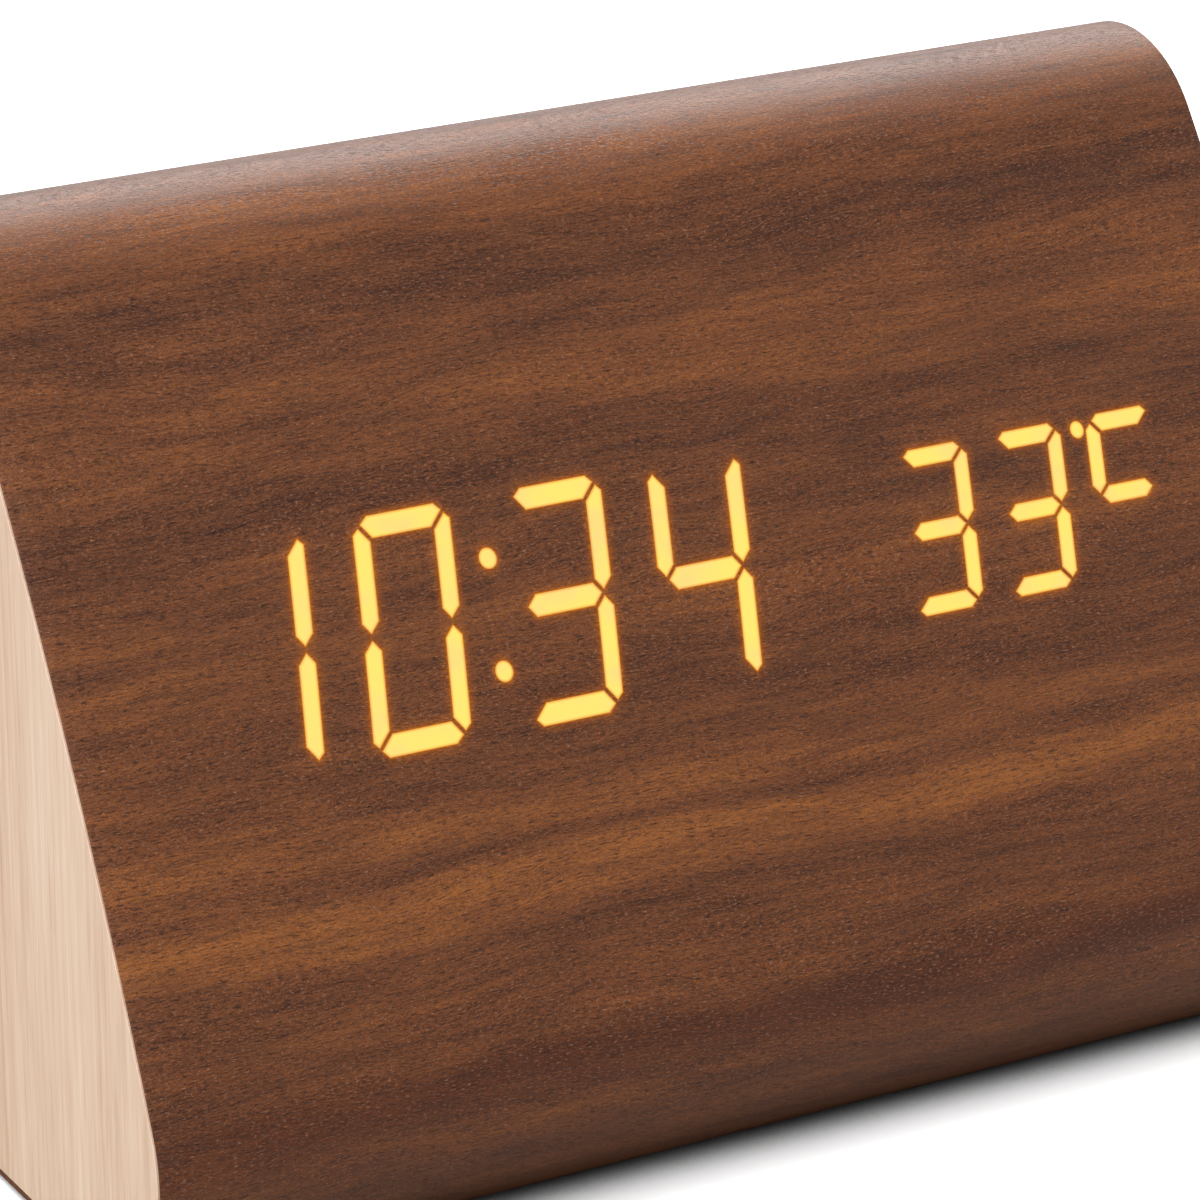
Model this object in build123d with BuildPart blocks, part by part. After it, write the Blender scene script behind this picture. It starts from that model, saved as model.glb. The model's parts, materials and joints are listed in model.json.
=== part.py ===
from build123d import *
from itertools import pairwise
from math import asin, atan, cos, degrees, hypot, pi, radians, sin, sqrt, tan
import os

# Three-sided wooden alarm clock with seven-segment digits that glow through its skin.
# Lengths are millimetres and angles degrees. X runs along the clock, to the right as it is read,
# -Y is the reading side, +Z is up, and the origin is on the table below the middle.

# Case: its length follows from the rear cover
depth = 75.0
cover_from_end = 8.0
corner_radius = 10.4
face_bow_radius = 255.0
side_lean = 30.0
skin = 0.5
core_wall = 5.0
end_panel_thickness = 4.0
end_tongue = 1.5
tongue_clearance = 0.1
pad_diameter = 8.0
pad_thickness = 0.5
pad_from_end = 11.0
pad_from_middle = 20.0

# Seven-segment digits, measured on the skin
time_half_width = 3.1
time_half_height = 7.4
time_bar_height = 1.6
time_bar_width = 1.3
time_gap = 0.28
time_pitch = 11.2
time_middle_pitch = 11.9
time_centre = -17.5
time_level = 1.0
small_half_width = 2.35
small_half_height = 5.33
small_bar_height = 1.32
small_bar_width = 1.2
small_gap = 0.25
small_pitch = 8.07
small_centre = 27.12
small_level = 0.65
dot_width = 1.3
dot_height = 1.45
colon_half_spacing = 3.92
dot_shift = 0.5
degree_dot_width = 1.15
degree_dot_height = 1.3
degree_shift = 0.35
degree_level = 5.1
digit_slant = 9.0
mitre_share = 0.66

# Display module
diffuser_thickness = 0.3
mask_thickness = 0.2
reflector_end_margin = 1.0
reflector_side_margin = 2.3
module_level = 1.0
window_clearance = 0.3
window_corner = 1.0
cell_inset = 0.1
cell_draft = 1.0
led_length = 1.0
led_width = 0.5
led_height = 0.45
display_board_clearance = 0.5
display_board_rim = 5.0
board_thickness = 1.2
board_corner = 1.5
peg_diameter = 1.6
peg_from_end = 1.0
peg_from_side = 2.0
peg_proud = 0.6
fit = 0.05

# Screws
screw_diameter = 2.0
screw_head_diameter = 3.8
screw_head_height = 1.4
display_screw_length = 5.4
display_screw_from_end = 7.0
display_screw_from_side = 2.3
cover_screw_length = 5.0
cover_screw_from_end = 2.5
cover_screw_from_side = 7.0
board_screw_length = 5.5
hole_clearance = 0.1
driver_slot_width = 0.6
driver_slot_depth = 0.6

# Rear cover
cover_thickness = 2.0
cover_corner = 3.0
cover_clearance = 0.2
cover_ledge_end = 5.0
cover_ledge_side = 3.0
opening_corner = 1.0
edge_break = 0.4

# Battery bay, cells and door
cell_diameter = 10.5
cell_length = 44.5
cell_count = 3
cell_gap = 0.4
cell_edge = 0.6
nub_diameter = 3.8
nub_height = 1.0
spring_room = 5.2
contact_sheet = 0.4
contact_width = 8.0
contact_height = 8.4
bay_wall = 1.2
bay_floor_clearance = 0.1
bay_fit = 0.4
door_thickness = 1.5
door_clearance = 0.25
cell_under_door = 0.3
hinge_radius = 1.2
hinge_pin_diameter = 1.6
hinge_pin_length = 0.9
hinge_pin_clearance = 0.05
latch_width = 10.0
latch_reach = 1.2
latch_slot = 0.8
latch_slot_length = 6.0
latch_clearance = 0.2
finger_scoop_radius = 8.0
finger_scoop_reach = 3.8
finger_scoop_depth = 1.0
grip_rib_count = 4
grip_rib_pitch = 1.8
grip_rib_height = 0.4
grip_rib_width = 0.8
grip_rib_length = 8.0
spring_wire = 0.5
spring_turns = 3
spring_wire_sides = 6
spring_base_diameter = 6.6
spring_tip_diameter = 4.2
lead_diameter = 1.0
lead_sides = 8
lead_bend = 2.0
lead_short_bend = 0.8
lead_off_wall = 1.6

# Main board and what it carries
main_board_length = 19.8
main_board_from_side = 1.0
main_board_clearance = 0.5
board_stand_off = 6.0
boss_diameter = 4.4
switch_size = 6.0
switch_height = 3.5
switch_edge = 0.5
plunger_diameter = 3.3
plunger_proud = 1.0
plunger_guide = 0.8
button_count = 3
button_pitch = 7.6
button_first_level = 12.5
button_diameter = 4.8
button_proud = 1.0
button_clearance = 0.15
button_edge = 0.6
button_travel = 0.4
button_seat_clearance = 0.1
flange_diameter = 6.4
flange_thickness = 0.8
button_column = 2.8
sensor_column = -5.6
socket_level = -11.5
socket_size = 8.0
socket_collar_diameter = 6.4
socket_collar_recess = 0.3
socket_bore_diameter = 3.6
socket_bore_depth = 6.0
socket_pin_diameter = 1.2
socket_pin_recess = 1.0
socket_hole_clearance = 0.15
microphone_diameter = 6.0
microphone_height = 2.7
microphone_level = 12.5
microphone_port = 1.2
boot_bore = 3.0
upper_boss_level = 4.5
lower_boss_level = -14.0
thermistor_level = -5.0
thermistor_bead = 1.8
thermistor_bead_edge = 0.25
thermistor_lead = 0.4
thermistor_lead_spacing = 0.8
thermistor_recess = 1.6
vent_count = 3
vent_pitch = 2.0
vent_width = 0.9
vent_length = 5.0
buzzer_diameter = 9.0
buzzer_height = 4.5
buzzer_port = 1.6
buzzer_place = (4.5, 11.0)
holder_length = 11.6
holder_width = 11.4
holder_height = 3.4
holder_place = (3.2, -2.0)
coin_diameter = 10.0
coin_thickness = 2.5
coin_clearance = 0.2
holder_arm = 4.0
holder_arm_thickness = 0.4
chip_length = 9.9
chip_width = 3.9
chip_height = 1.5
chip_pins = 8
chip_pin_pitch = 1.27
chip_pin_width = 0.4
chip_pin_reach = 1.0
chip_pin_thickness = 0.3
clock_chip_place = (1.6, -13.4)
crystal_diameter = 2.0
crystal_length = 6.0
crystal_place = (8.1, -12.5)
capacitor_diameter = 5.0
capacitor_height = 5.5
capacitor_place = (-4.2, 14.2)
capacitor_base = 0.8

# Ribbon cable and its headers
header_length = 8.0
header_width = 4.0
header_height = 3.0
header_edge = 0.4
header_place = (-4.4, 8.9)
display_header_level = -6.0
ribbon_width = 6.0
ribbon_thickness = 0.5
ribbon_exit = 5.0
ribbon_bend = 2.5
driver_chip_length = 15.4
driver_chip_width = 7.5
driver_chip_height = 2.3
driver_chip_pins = 12
driver_chip_place = (2.0, 3.0)
resistor_count = 8
resistor_pitch = 2.6
resistor_length = 2.0
resistor_width = 1.2
resistor_height = 0.5
resistor_place = (-24.0, -6.0)

# One overrun serves every cut
over = 2.0

# Slope of a countersunk screw head
head_slope = degrees(atan((screw_head_diameter - screw_diameter) / 2 / screw_head_height))

# Battery bay and the rear opening round it, which set the length of the clock
cell_pitch = cell_diameter + cell_gap
bay_length = cell_length + spring_room + 2 * contact_sheet
bay_height = cell_count * cell_pitch
opening_length = (bay_length + 2 * (bay_wall + bay_fit) + main_board_clearance
                  + main_board_length)
opening_height = bay_height + 2 * (bay_wall + bay_fit)
cover_length = opening_length + 2 * cover_ledge_end
cover_height = opening_height + 2 * cover_ledge_side
length = cover_length + 2 * cover_from_end
main_board_height = opening_height - 2 * main_board_from_side

# Corner centres of the section, and the flat-to-flat distances worked out from them
half_turn = 180
corner_angle = 60
corner_pitch = depth - 2 * corner_radius
corner_height = pad_thickness + corner_radius
apex_height = corner_height + corner_pitch * sin(radians(corner_angle))
inner_distance = corner_pitch / 2 * tan(radians(side_lean))
middle_height = corner_height + inner_distance
side_distance = corner_radius + inner_distance
bow_half_angle = degrees(asin(corner_pitch / 2 / (face_bow_radius - corner_radius)))
bow_offset = (face_bow_radius - corner_radius) * cos(radians(bow_half_angle)) - inner_distance
bow_rise = face_bow_radius - bow_offset - side_distance
front_corner = Vector(-corner_pitch / 2, corner_height)
rear_corner = Vector(corner_pitch / 2, corner_height)
top_corner = Vector(0, apex_height)
lean_cos = cos(radians(side_lean))
lean_sin = sin(radians(side_lean))
front_bow_centre = Vector(bow_offset * lean_cos, middle_height - bow_offset * lean_sin)
rear_bow_centre = Vector(-bow_offset * lean_cos, middle_height - bow_offset * lean_sin)

# Faces of the clock: x to the right as each side is looked at, y up the slope, z outward.
# Their origins lie where a straight side would run, bow_rise under the crest of the bow.
front_face = Plane(
    origin=(0, -side_distance * lean_cos, middle_height + side_distance * lean_sin),
    x_dir=(1, 0, 0), z_dir=(0, -lean_cos, lean_sin))
rear_face = Plane(
    origin=(0, side_distance * lean_cos, middle_height + side_distance * lean_sin),
    x_dir=(-1, 0, 0), z_dir=(0, lean_cos, lean_sin))
front_across = Plane(origin=front_face.origin, x_dir=front_face.y_dir, z_dir=front_face.x_dir)

# Display module: it reaches as far as the slanted time digits do, about the middle
digit_reach = (time_middle_pitch / 2 + time_pitch + time_half_width + time_bar_width / 2
               + (time_half_height + time_bar_height / 2) * tan(radians(digit_slant)))
reflector_length = 2 * (digit_reach - time_centre + reflector_end_margin)
reflector_height = (2 * time_half_height + time_bar_height + 2 * reflector_side_margin)
display_board_length = length - 2 * (end_panel_thickness + end_tongue + display_board_clearance)
display_board_height = reflector_height + 2 * display_board_rim

# Levels in from the front side
board_face = -(skin + core_wall)
display_board_back = board_face - board_thickness
film_inset = skin + diffuser_thickness
reflector_inset = film_inset + mask_thickness
skin_room = 2 * (bow_rise + skin)

# Levels in from the rear side, and places along it
cover_back = -cover_thickness
bay_x = -(opening_length / 2 - bay_fit - bay_wall - bay_length / 2)
cell_level = -(door_thickness + cell_under_door + cell_diameter / 2)
bay_floor = cell_level - cell_diameter / 2 - bay_floor_clearance
bay_back = bay_floor - bay_wall
hinge_level = -hinge_radius
hinge_y = -bay_height / 2 + door_clearance + hinge_radius
main_board_face = cover_back - board_stand_off
main_board_back = main_board_face - board_thickness
main_board_left = bay_x + bay_length / 2 + bay_wall + main_board_clearance
main_board_x = main_board_left + main_board_length / 2
button_x = main_board_x + button_column
sensor_x = main_board_x + sensor_column
button_levels = [button_first_level - place * button_pitch for place in range(button_count)]
switch_top = main_board_face + switch_height
plunger_top = switch_top + plunger_proud


def case_outline(inset):
    """Outline across the case, drawn in from its skin by inset."""
    corner = corner_radius - inset
    bow = face_bow_radius - inset
    foot_arc = half_turn - corner_angle - bow_half_angle
    top_arc = half_turn - corner_angle - 2 * bow_half_angle
    with BuildSketch(Plane.YZ) as outline:
        with BuildLine():
            foot = CenterArc(front_corner, corner, half_turn - side_lean + bow_half_angle, foot_arc)
            heel = CenterArc(rear_corner, corner, -half_turn / 2, foot_arc)
            Line(foot @ 1, heel @ 0)
            CenterArc(rear_bow_centre, bow, side_lean - bow_half_angle, 2 * bow_half_angle)
            CenterArc(top_corner, corner, side_lean + bow_half_angle, top_arc)
            CenterArc(front_bow_centre, bow, half_turn - side_lean - bow_half_angle,
                      2 * bow_half_angle)
        make_face()
    return outline.sketch


def cavity_outline(gap):
    """Straight-sided outline of the hollow in the core, drawn in by gap."""
    with BuildSketch(Plane.YZ) as outline:
        Polygon(front_corner, rear_corner, top_corner, align=None)
        offset(amount=corner_radius - skin - core_wall - gap)
    return outline.sketch


def bowed_slab(span, height, level, outer_inset, inner_inset):
    """Sheet that follows the bow of the front side between two insets."""
    with BuildPart() as slab:
        with BuildSketch(front_across):
            with Locations((level, 0)):
                Rectangle(height, face_bow_radius)
            with Locations((0, bow_rise - face_bow_radius)):
                Circle(face_bow_radius - outer_inset, mode=Mode.INTERSECT)
                Circle(face_bow_radius - inner_inset, mode=Mode.SUBTRACT)
        extrude(amount=span / 2, both=True)
    return slab


def digit_bars(half_width, half_height, bar_height, bar_width, gap, shrink=0):
    """Outlines of the seven bars of one upright digit about its centre, by their usual letters."""
    bar_height = bar_height - 2 * shrink
    bar_width = bar_width - 2 * shrink
    gap = gap + 2 * shrink
    diagonal = hypot(bar_width, bar_height)
    shift_x = gap / 2 * diagonal / bar_height
    shift_y = gap / 2 * diagonal / bar_width
    edge_in_y = half_height - bar_height / 2
    edge_out_y = half_height + bar_height / 2
    edge_in_x = half_width - bar_width / 2
    edge_out_x = half_width + bar_width / 2
    rise = mitre_share * bar_height
    run = mitre_share * bar_width
    level_end = edge_in_x - shift_x
    level_tip = (level_end + run, edge_in_y + rise)
    level_bevel = level_tip[0] - (edge_out_y - level_tip[1])
    upright_end = edge_in_y - shift_y
    upright_tip = (edge_in_x + run, upright_end + rise)
    upright_bevel = upright_tip[1] - (edge_out_x - upright_tip[0])
    middle_tip = half_width - shift_x
    middle_end = middle_tip - bar_width / 2
    foot_end = shift_y + bar_height / 2

    top = [(level_end, edge_in_y), level_tip, (level_bevel, edge_out_y)]
    top = top + [(-x, y) for x, y in reversed(top)]
    right = [(edge_in_x, upright_end), upright_tip, (edge_out_x, upright_bevel),
             (edge_out_x, foot_end), (half_width, shift_y), (edge_in_x, foot_end)]
    middle = [(middle_end, -bar_height / 2), (middle_tip, 0), (middle_end, bar_height / 2)]
    middle = middle + [(-x, -y) for x, y in middle]
    return {
        "a": top,
        "b": right,
        "c": [(x, -y) for x, y in right],
        "d": [(x, -y) for x, y in top],
        "e": [(-x, -y) for x, y in right],
        "f": [(-x, y) for x, y in right],
        "g": middle,
    }


def slanted(point, centre):
    """Lean a point of an upright digit and carry it to the digit's centre."""
    return (centre[0] + point[0] + point[1] * tan(radians(digit_slant)), centre[1] + point[1])


# Digits from left to right with their centres, and what they read
time_offsets = [side * (time_middle_pitch / 2 + step * time_pitch)
                for side, step in ((-1, 1), (-1, 0), (1, 0), (1, 1))]
time_centres = [(time_centre + offset, time_level) for offset in time_offsets]
small_centres = [(small_centre + step * small_pitch, small_level) for step in (-1, 0, 1)]
time_size = (time_half_width, time_half_height, time_bar_height, time_bar_width, time_gap)
small_size = (small_half_width, small_half_height, small_bar_height, small_bar_width, small_gap)
lit_bars = {"0": "abcdef", "1": "bc", "3": "abcdg", "4": "bcfg", "C": "afg"}
digits = list(zip(time_centres + small_centres, [time_size] * 4 + [small_size] * 3, "103433C"))
colon_centre = (time_centre + dot_shift, time_level)
degree_centre = (small_centre + small_pitch / 2 + degree_shift, small_level)
dots = [(slanted((0, -colon_half_spacing), colon_centre), dot_width, dot_height),
        (slanted((0, colon_half_spacing), colon_centre), dot_width, dot_height),
        (slanted((0, degree_level), degree_centre), degree_dot_width, degree_dot_height)]


def bar_outlines(level, lit_only=False, shrink=0):
    """Outlines of the straight segments on the front side, the lit ones or all of them."""
    with BuildSketch(front_face.offset(level)) as outlines:
        for centre, size, figure in digits:
            bars = digit_bars(*size, shrink=shrink)
            for letter, points in bars.items():
                if letter in lit_bars[figure] or not lit_only:
                    Polygon(*[slanted(point, centre) for point in points], align=None)
    return outlines.sketch


def dot_outlines(level, shrink=0):
    """Outlines of the colon and the degree dot on the front side."""
    with BuildSketch(front_face.offset(level)) as outlines:
        for place, width, height in dots:
            with Locations(place):
                Ellipse(width / 2 - shrink, height / 2 - shrink)
    return outlines.sketch


def screw(plane, places, under_head, shank, countersunk):
    """Row of like screws: head outside the plane's level, shank going in."""
    with BuildPart() as row:
        with BuildSketch(plane.offset(under_head)):
            with Locations(*places):
                Circle(screw_diameter / 2)
        extrude(amount=-shank)
        if countersunk:
            with BuildSketch(plane.offset(under_head)):
                with Locations(*places):
                    Circle(screw_head_diameter / 2)
            extrude(amount=-screw_head_height, taper=head_slope)
        else:
            with BuildSketch(plane.offset(under_head)):
                with Locations(*places):
                    Circle(screw_head_diameter / 2)
            extrude(amount=screw_head_height)
        top = under_head if countersunk else under_head + screw_head_height
        with BuildSketch(plane.offset(top)):
            with Locations(*places):
                Rectangle(screw_head_diameter * 2, driver_slot_width)
        extrude(amount=-driver_slot_depth, mode=Mode.SUBTRACT)
    return row


def corner_places(spacing_x, spacing_y, level=0):
    """Four places on a rectangle about the middle of a side."""
    return [(x * spacing_x / 2, y * spacing_y / 2 + level) for x in (-1, 1) for y in (-1, 1)]


skin_outline = case_outline(0)
core_outline = case_outline(skin)
hollow_outline = cavity_outline(0)
tongue_outline = cavity_outline(tongue_clearance)
skin_sheet = bowed_slab(length, depth, 0, 0, skin)
lit_outlines = [bar_outlines(-skin_room, lit_only=True), dot_outlines(-skin_room)]
window_outlines = [bar_outlines(-skin_room), dot_outlines(-skin_room)]
cell_bars = bar_outlines(bow_rise - reflector_inset, shrink=cell_inset)
cell_dots = dot_outlines(bow_rise - reflector_inset, shrink=cell_inset)
display_screw_places = corner_places(display_board_length - 2 * display_screw_from_end,
                                     display_board_height - 2 * display_screw_from_side,
                                     module_level)
peg_places = corner_places(reflector_length - 2 * peg_from_end,
                           reflector_height - 2 * peg_from_side, module_level)
cover_screw_places = corner_places(cover_length - 2 * cover_screw_from_end,
                                   cover_height - 2 * cover_screw_from_side)
board_screw_places = [(sensor_x, level) for level in (upper_boss_level, lower_boss_level)]
os.makedirs("parts", exist_ok=True)

# Walnut skin: one thin sheet round all three sides, open over the rear cover
with BuildPart() as walnut_skin:
    extrude(skin_outline, amount=length / 2, both=True)
    extrude(core_outline, amount=length, both=True, mode=Mode.SUBTRACT)
    with BuildSketch(rear_face.offset(-skin_room)):
        RectangleRounded(cover_length + 2 * cover_clearance, cover_height + 2 * cover_clearance,
                         cover_corner)
    extrude(amount=2 * skin_room, mode=Mode.SUBTRACT)
    for outlines in lit_outlines:
        extrude(outlines, amount=2 * skin_room, mode=Mode.SUBTRACT)
walnut_skin.part.label = "walnut_skin"
export_step(walnut_skin.part, "parts/walnut_skin.step")

# Lit segments: the places of the skin that the light comes through
with BuildPart() as lit_segments:
    for outlines in lit_outlines:
        extrude(outlines, amount=2 * skin_room)
    add(skin_sheet.part, mode=Mode.INTERSECT)
lit_segments.part.label = "lit_segments"
export_step(lit_segments.part, "parts/lit_segments.step")

# Core: hollow fibreboard prism with the display window and the stepped rear opening
with BuildPart() as case_core:
    extrude(core_outline, amount=length / 2 - end_panel_thickness, both=True)
    extrude(hollow_outline, amount=length, both=True, mode=Mode.SUBTRACT)
    with BuildSketch(front_face.offset(board_face - over)):
        with Locations((0, module_level)):
            RectangleRounded(reflector_length + 2 * window_clearance,
                             reflector_height + 2 * window_clearance, window_corner)
    extrude(amount=over + skin_room - board_face, mode=Mode.SUBTRACT)
    with BuildSketch(rear_face.offset(cover_back)):
        RectangleRounded(cover_length + 2 * cover_clearance, cover_height + 2 * cover_clearance,
                         cover_corner)
    extrude(amount=skin_room - cover_back, mode=Mode.SUBTRACT)
    with BuildSketch(rear_face.offset(board_face - over)):
        RectangleRounded(opening_length, opening_height, opening_corner)
    extrude(amount=over + skin_room - board_face, mode=Mode.SUBTRACT)
    with BuildSketch(rear_face.offset(cover_back)):
        with Locations(*cover_screw_places):
            Circle(screw_diameter / 2 + fit)
    extrude(amount=cover_thickness - cover_screw_length - hole_clearance, mode=Mode.SUBTRACT)
    with BuildSketch(front_face.offset(board_face)):
        with Locations(*display_screw_places):
            Circle(screw_diameter / 2 + fit)
    extrude(amount=display_screw_length - board_thickness + hole_clearance, mode=Mode.SUBTRACT)
case_core.part.label = "case_core"
export_step(case_core.part, "parts/case_core.step")

# End panels: pale plates inside the skin, each with a tongue in the hollow
for side, name in ((-1, "end_panel_left"), (1, "end_panel_right")):
    seat = Pos(X=side * (length / 2 - end_panel_thickness))
    with BuildPart() as end_panel:
        extrude(seat * core_outline, amount=side * end_panel_thickness)
        extrude(seat * tongue_outline, amount=-side * end_tongue)
    end_panel.part.label = name
    export_step(end_panel.part, f"parts/{name}.step")

# Foot pads: four thin soft discs on the flat base
with BuildPart() as foot_pads:
    with GridLocations(length - 2 * pad_from_end, 2 * pad_from_middle, 2, 2):
        Cylinder(pad_diameter / 2, pad_thickness, align=(Align.CENTER, Align.CENTER, Align.MIN))
foot_pads.part.label = "foot_pads"
export_step(foot_pads.part, "parts/foot_pads.step")

# Films behind the skin: a plain diffuser, then a mask with a window for each segment
diffuser_film = bowed_slab(reflector_length, reflector_height, module_level, skin, film_inset)
diffuser_film.part.label = "diffuser_film"
export_step(diffuser_film.part, "parts/diffuser_film.step")

mask_sheet = bowed_slab(reflector_length, reflector_height, module_level, film_inset,
                        reflector_inset)
with BuildPart() as segment_mask:
    add(mask_sheet.part)
    for outlines in window_outlines:
        extrude(outlines, amount=2 * skin_room, mode=Mode.SUBTRACT)
segment_mask.part.label = "segment_mask"
export_step(segment_mask.part, "parts/segment_mask.step")

# Reflector: a block bowed like the skin, with one tapered light cell behind each segment
with BuildPart() as segment_reflector:
    with BuildSketch(front_across):
        with Locations((module_level, board_face)):
            Rectangle(reflector_height, face_bow_radius, align=(Align.CENTER, Align.MIN))
        with Locations((0, bow_rise - face_bow_radius)):
            Circle(face_bow_radius - reflector_inset, mode=Mode.INTERSECT)
    extrude(amount=reflector_length / 2, both=True)
    extrude(cell_bars, amount=board_face - bow_rise + reflector_inset, taper=cell_draft,
            mode=Mode.SUBTRACT)
    extrude(cell_dots, amount=board_face - bow_rise + reflector_inset, mode=Mode.SUBTRACT)
    with BuildSketch(front_face.offset(board_face)):
        with Locations(*peg_places):
            Circle(peg_diameter / 2)
    extrude(amount=-(board_thickness + peg_proud))
segment_reflector.part.label = "segment_reflector"
export_step(segment_reflector.part, "parts/segment_reflector.step")

# Segment LEDs: one small chip on the board at the foot of each light cell
with BuildPart() as segment_leds:
    with BuildSketch(front_face.offset(board_face)):
        for centre, size, figure in digits:
            for letter, points in digit_bars(*size).items():
                middle = [sum(values) / len(points) for values in zip(*points)]
                turn = half_turn / 2 - digit_slant if letter in "bcef" else 0
                with Locations(Location(slanted(middle, centre), turn)):
                    Rectangle(led_length, led_width)
        with Locations(*[place for place, width, height in dots]):
            Rectangle(led_width, led_width)
    extrude(amount=led_height)
segment_leds.part.label = "segment_leds"
export_step(segment_leds.part, "parts/segment_leds.step")

# Display board: it closes the light cells from behind and is screwed to the core
with BuildPart() as display_board:
    with BuildSketch(front_face.offset(board_face)):
        with Locations((0, module_level)):
            RectangleRounded(display_board_length, display_board_height, board_corner)
        with Locations(*display_screw_places):
            Circle(screw_diameter / 2 + hole_clearance, mode=Mode.SUBTRACT)
        with Locations(*peg_places):
            Circle(peg_diameter / 2 + fit, mode=Mode.SUBTRACT)
    extrude(amount=-board_thickness)
display_board.part.label = "display_board"
export_step(display_board.part, "parts/display_board.step")

# Display screws: pan heads on the back of the board
display_back = Plane(origin=front_face.origin, x_dir=-front_face.x_dir, z_dir=-front_face.z_dir)
mirrored_screw_places = [(-x, y) for x, y in display_screw_places]
display_screws = screw(display_back, mirrored_screw_places, -display_board_back,
                       display_screw_length, countersunk=False)
display_screws.part.label = "display_screws"
export_step(display_screws.part, "parts/display_screws.step")


def chip(plane, level, place, size, pins):
    """Flat package with a row of bent pins on each long side, standing on a board face."""
    long_side, short_side, height = size
    with BuildPart() as package:
        with BuildSketch(plane.offset(level + chip_pin_thickness)):
            with Locations(place):
                Rectangle(long_side, short_side)
        extrude(amount=height - chip_pin_thickness)
        top_edges = package.faces().sort_by(Axis(plane.origin, plane.z_dir))[-1].edges()
        chamfer(top_edges, chip_pin_thickness)
        with BuildSketch(plane.offset(level)):
            with Locations(place):
                with GridLocations(chip_pin_pitch, 0, pins, 1):
                    Rectangle(chip_pin_width, short_side + 2 * chip_pin_reach)
        extrude(amount=chip_pin_thickness)
    return package


# Driver chip, resistors and header on the back of the display board
driver_chip = chip(display_back, -display_board_back, driver_chip_place,
                   (driver_chip_length, driver_chip_width, driver_chip_height), driver_chip_pins)
driver_chip.part.label = "driver_chip"
export_step(driver_chip.part, "parts/driver_chip.step")

with BuildPart() as segment_resistors:
    with BuildSketch(display_back.offset(-display_board_back)):
        with Locations(resistor_place):
            with GridLocations(resistor_pitch, 0, resistor_count, 1):
                Rectangle(resistor_width, resistor_length)
    extrude(amount=resistor_height)
segment_resistors.part.label = "segment_resistors"
export_step(segment_resistors.part, "parts/segment_resistors.step")

# The back of the main board, seen from inside the clock
board_inside = Plane(origin=rear_face.origin, x_dir=-rear_face.x_dir, z_dir=-rear_face.z_dir)


def inside_place(offset_x, y):
    """Place on the inner face of the main board, from an offset off the board's middle."""
    return (-(main_board_x + offset_x), y)


ribbon_x = main_board_x + header_place[0]
header_seats = ((display_back.offset(-display_board_back), (ribbon_x, display_header_level)),
                (board_inside.offset(-main_board_back), inside_place(*header_place)))
with BuildPart() as ribbon_headers:
    for seat, place in header_seats:
        with BuildSketch(seat):
            with Locations(place):
                Rectangle(header_length, header_width)
        extrude(amount=header_height)
    chamfer(ribbon_headers.edges().group_by(SortBy.LENGTH)[0], header_edge)
ribbon_headers.part.label = "ribbon_headers"
export_step(ribbon_headers.part, "parts/ribbon_headers.step")

# Ribbon cable: flat strip that leaves both headers square and bends between them
ribbon_start = board_inside.from_local_coords(
    (0, header_place[1], -main_board_back + header_height + ribbon_thickness / 2))
ribbon_end = display_back.from_local_coords(
    (0, display_header_level, -display_board_back + header_height + ribbon_thickness / 2))
ribbon_points = [ribbon_start, ribbon_start + board_inside.z_dir * ribbon_exit,
                 ribbon_end + display_back.z_dir * ribbon_exit, ribbon_end]
with BuildPart() as ribbon_cable:
    with BuildSketch(Plane.YZ.offset(-ribbon_x)):
        with BuildLine():
            route = FilletPolyline(*[(point.Y, point.Z) for point in ribbon_points],
                                   radius=ribbon_bend)
            offset(route, amount=ribbon_thickness / 2, side=Side.BOTH)
        make_face()
    extrude(amount=ribbon_width / 2, both=True)
ribbon_cable.part.label = "ribbon_cable"
export_step(ribbon_cable.part, "parts/ribbon_cable.step")

# Point on the battery door's pivot line
hinge_point = rear_face.from_local_coords((bay_x, hinge_y, hinge_level))

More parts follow.
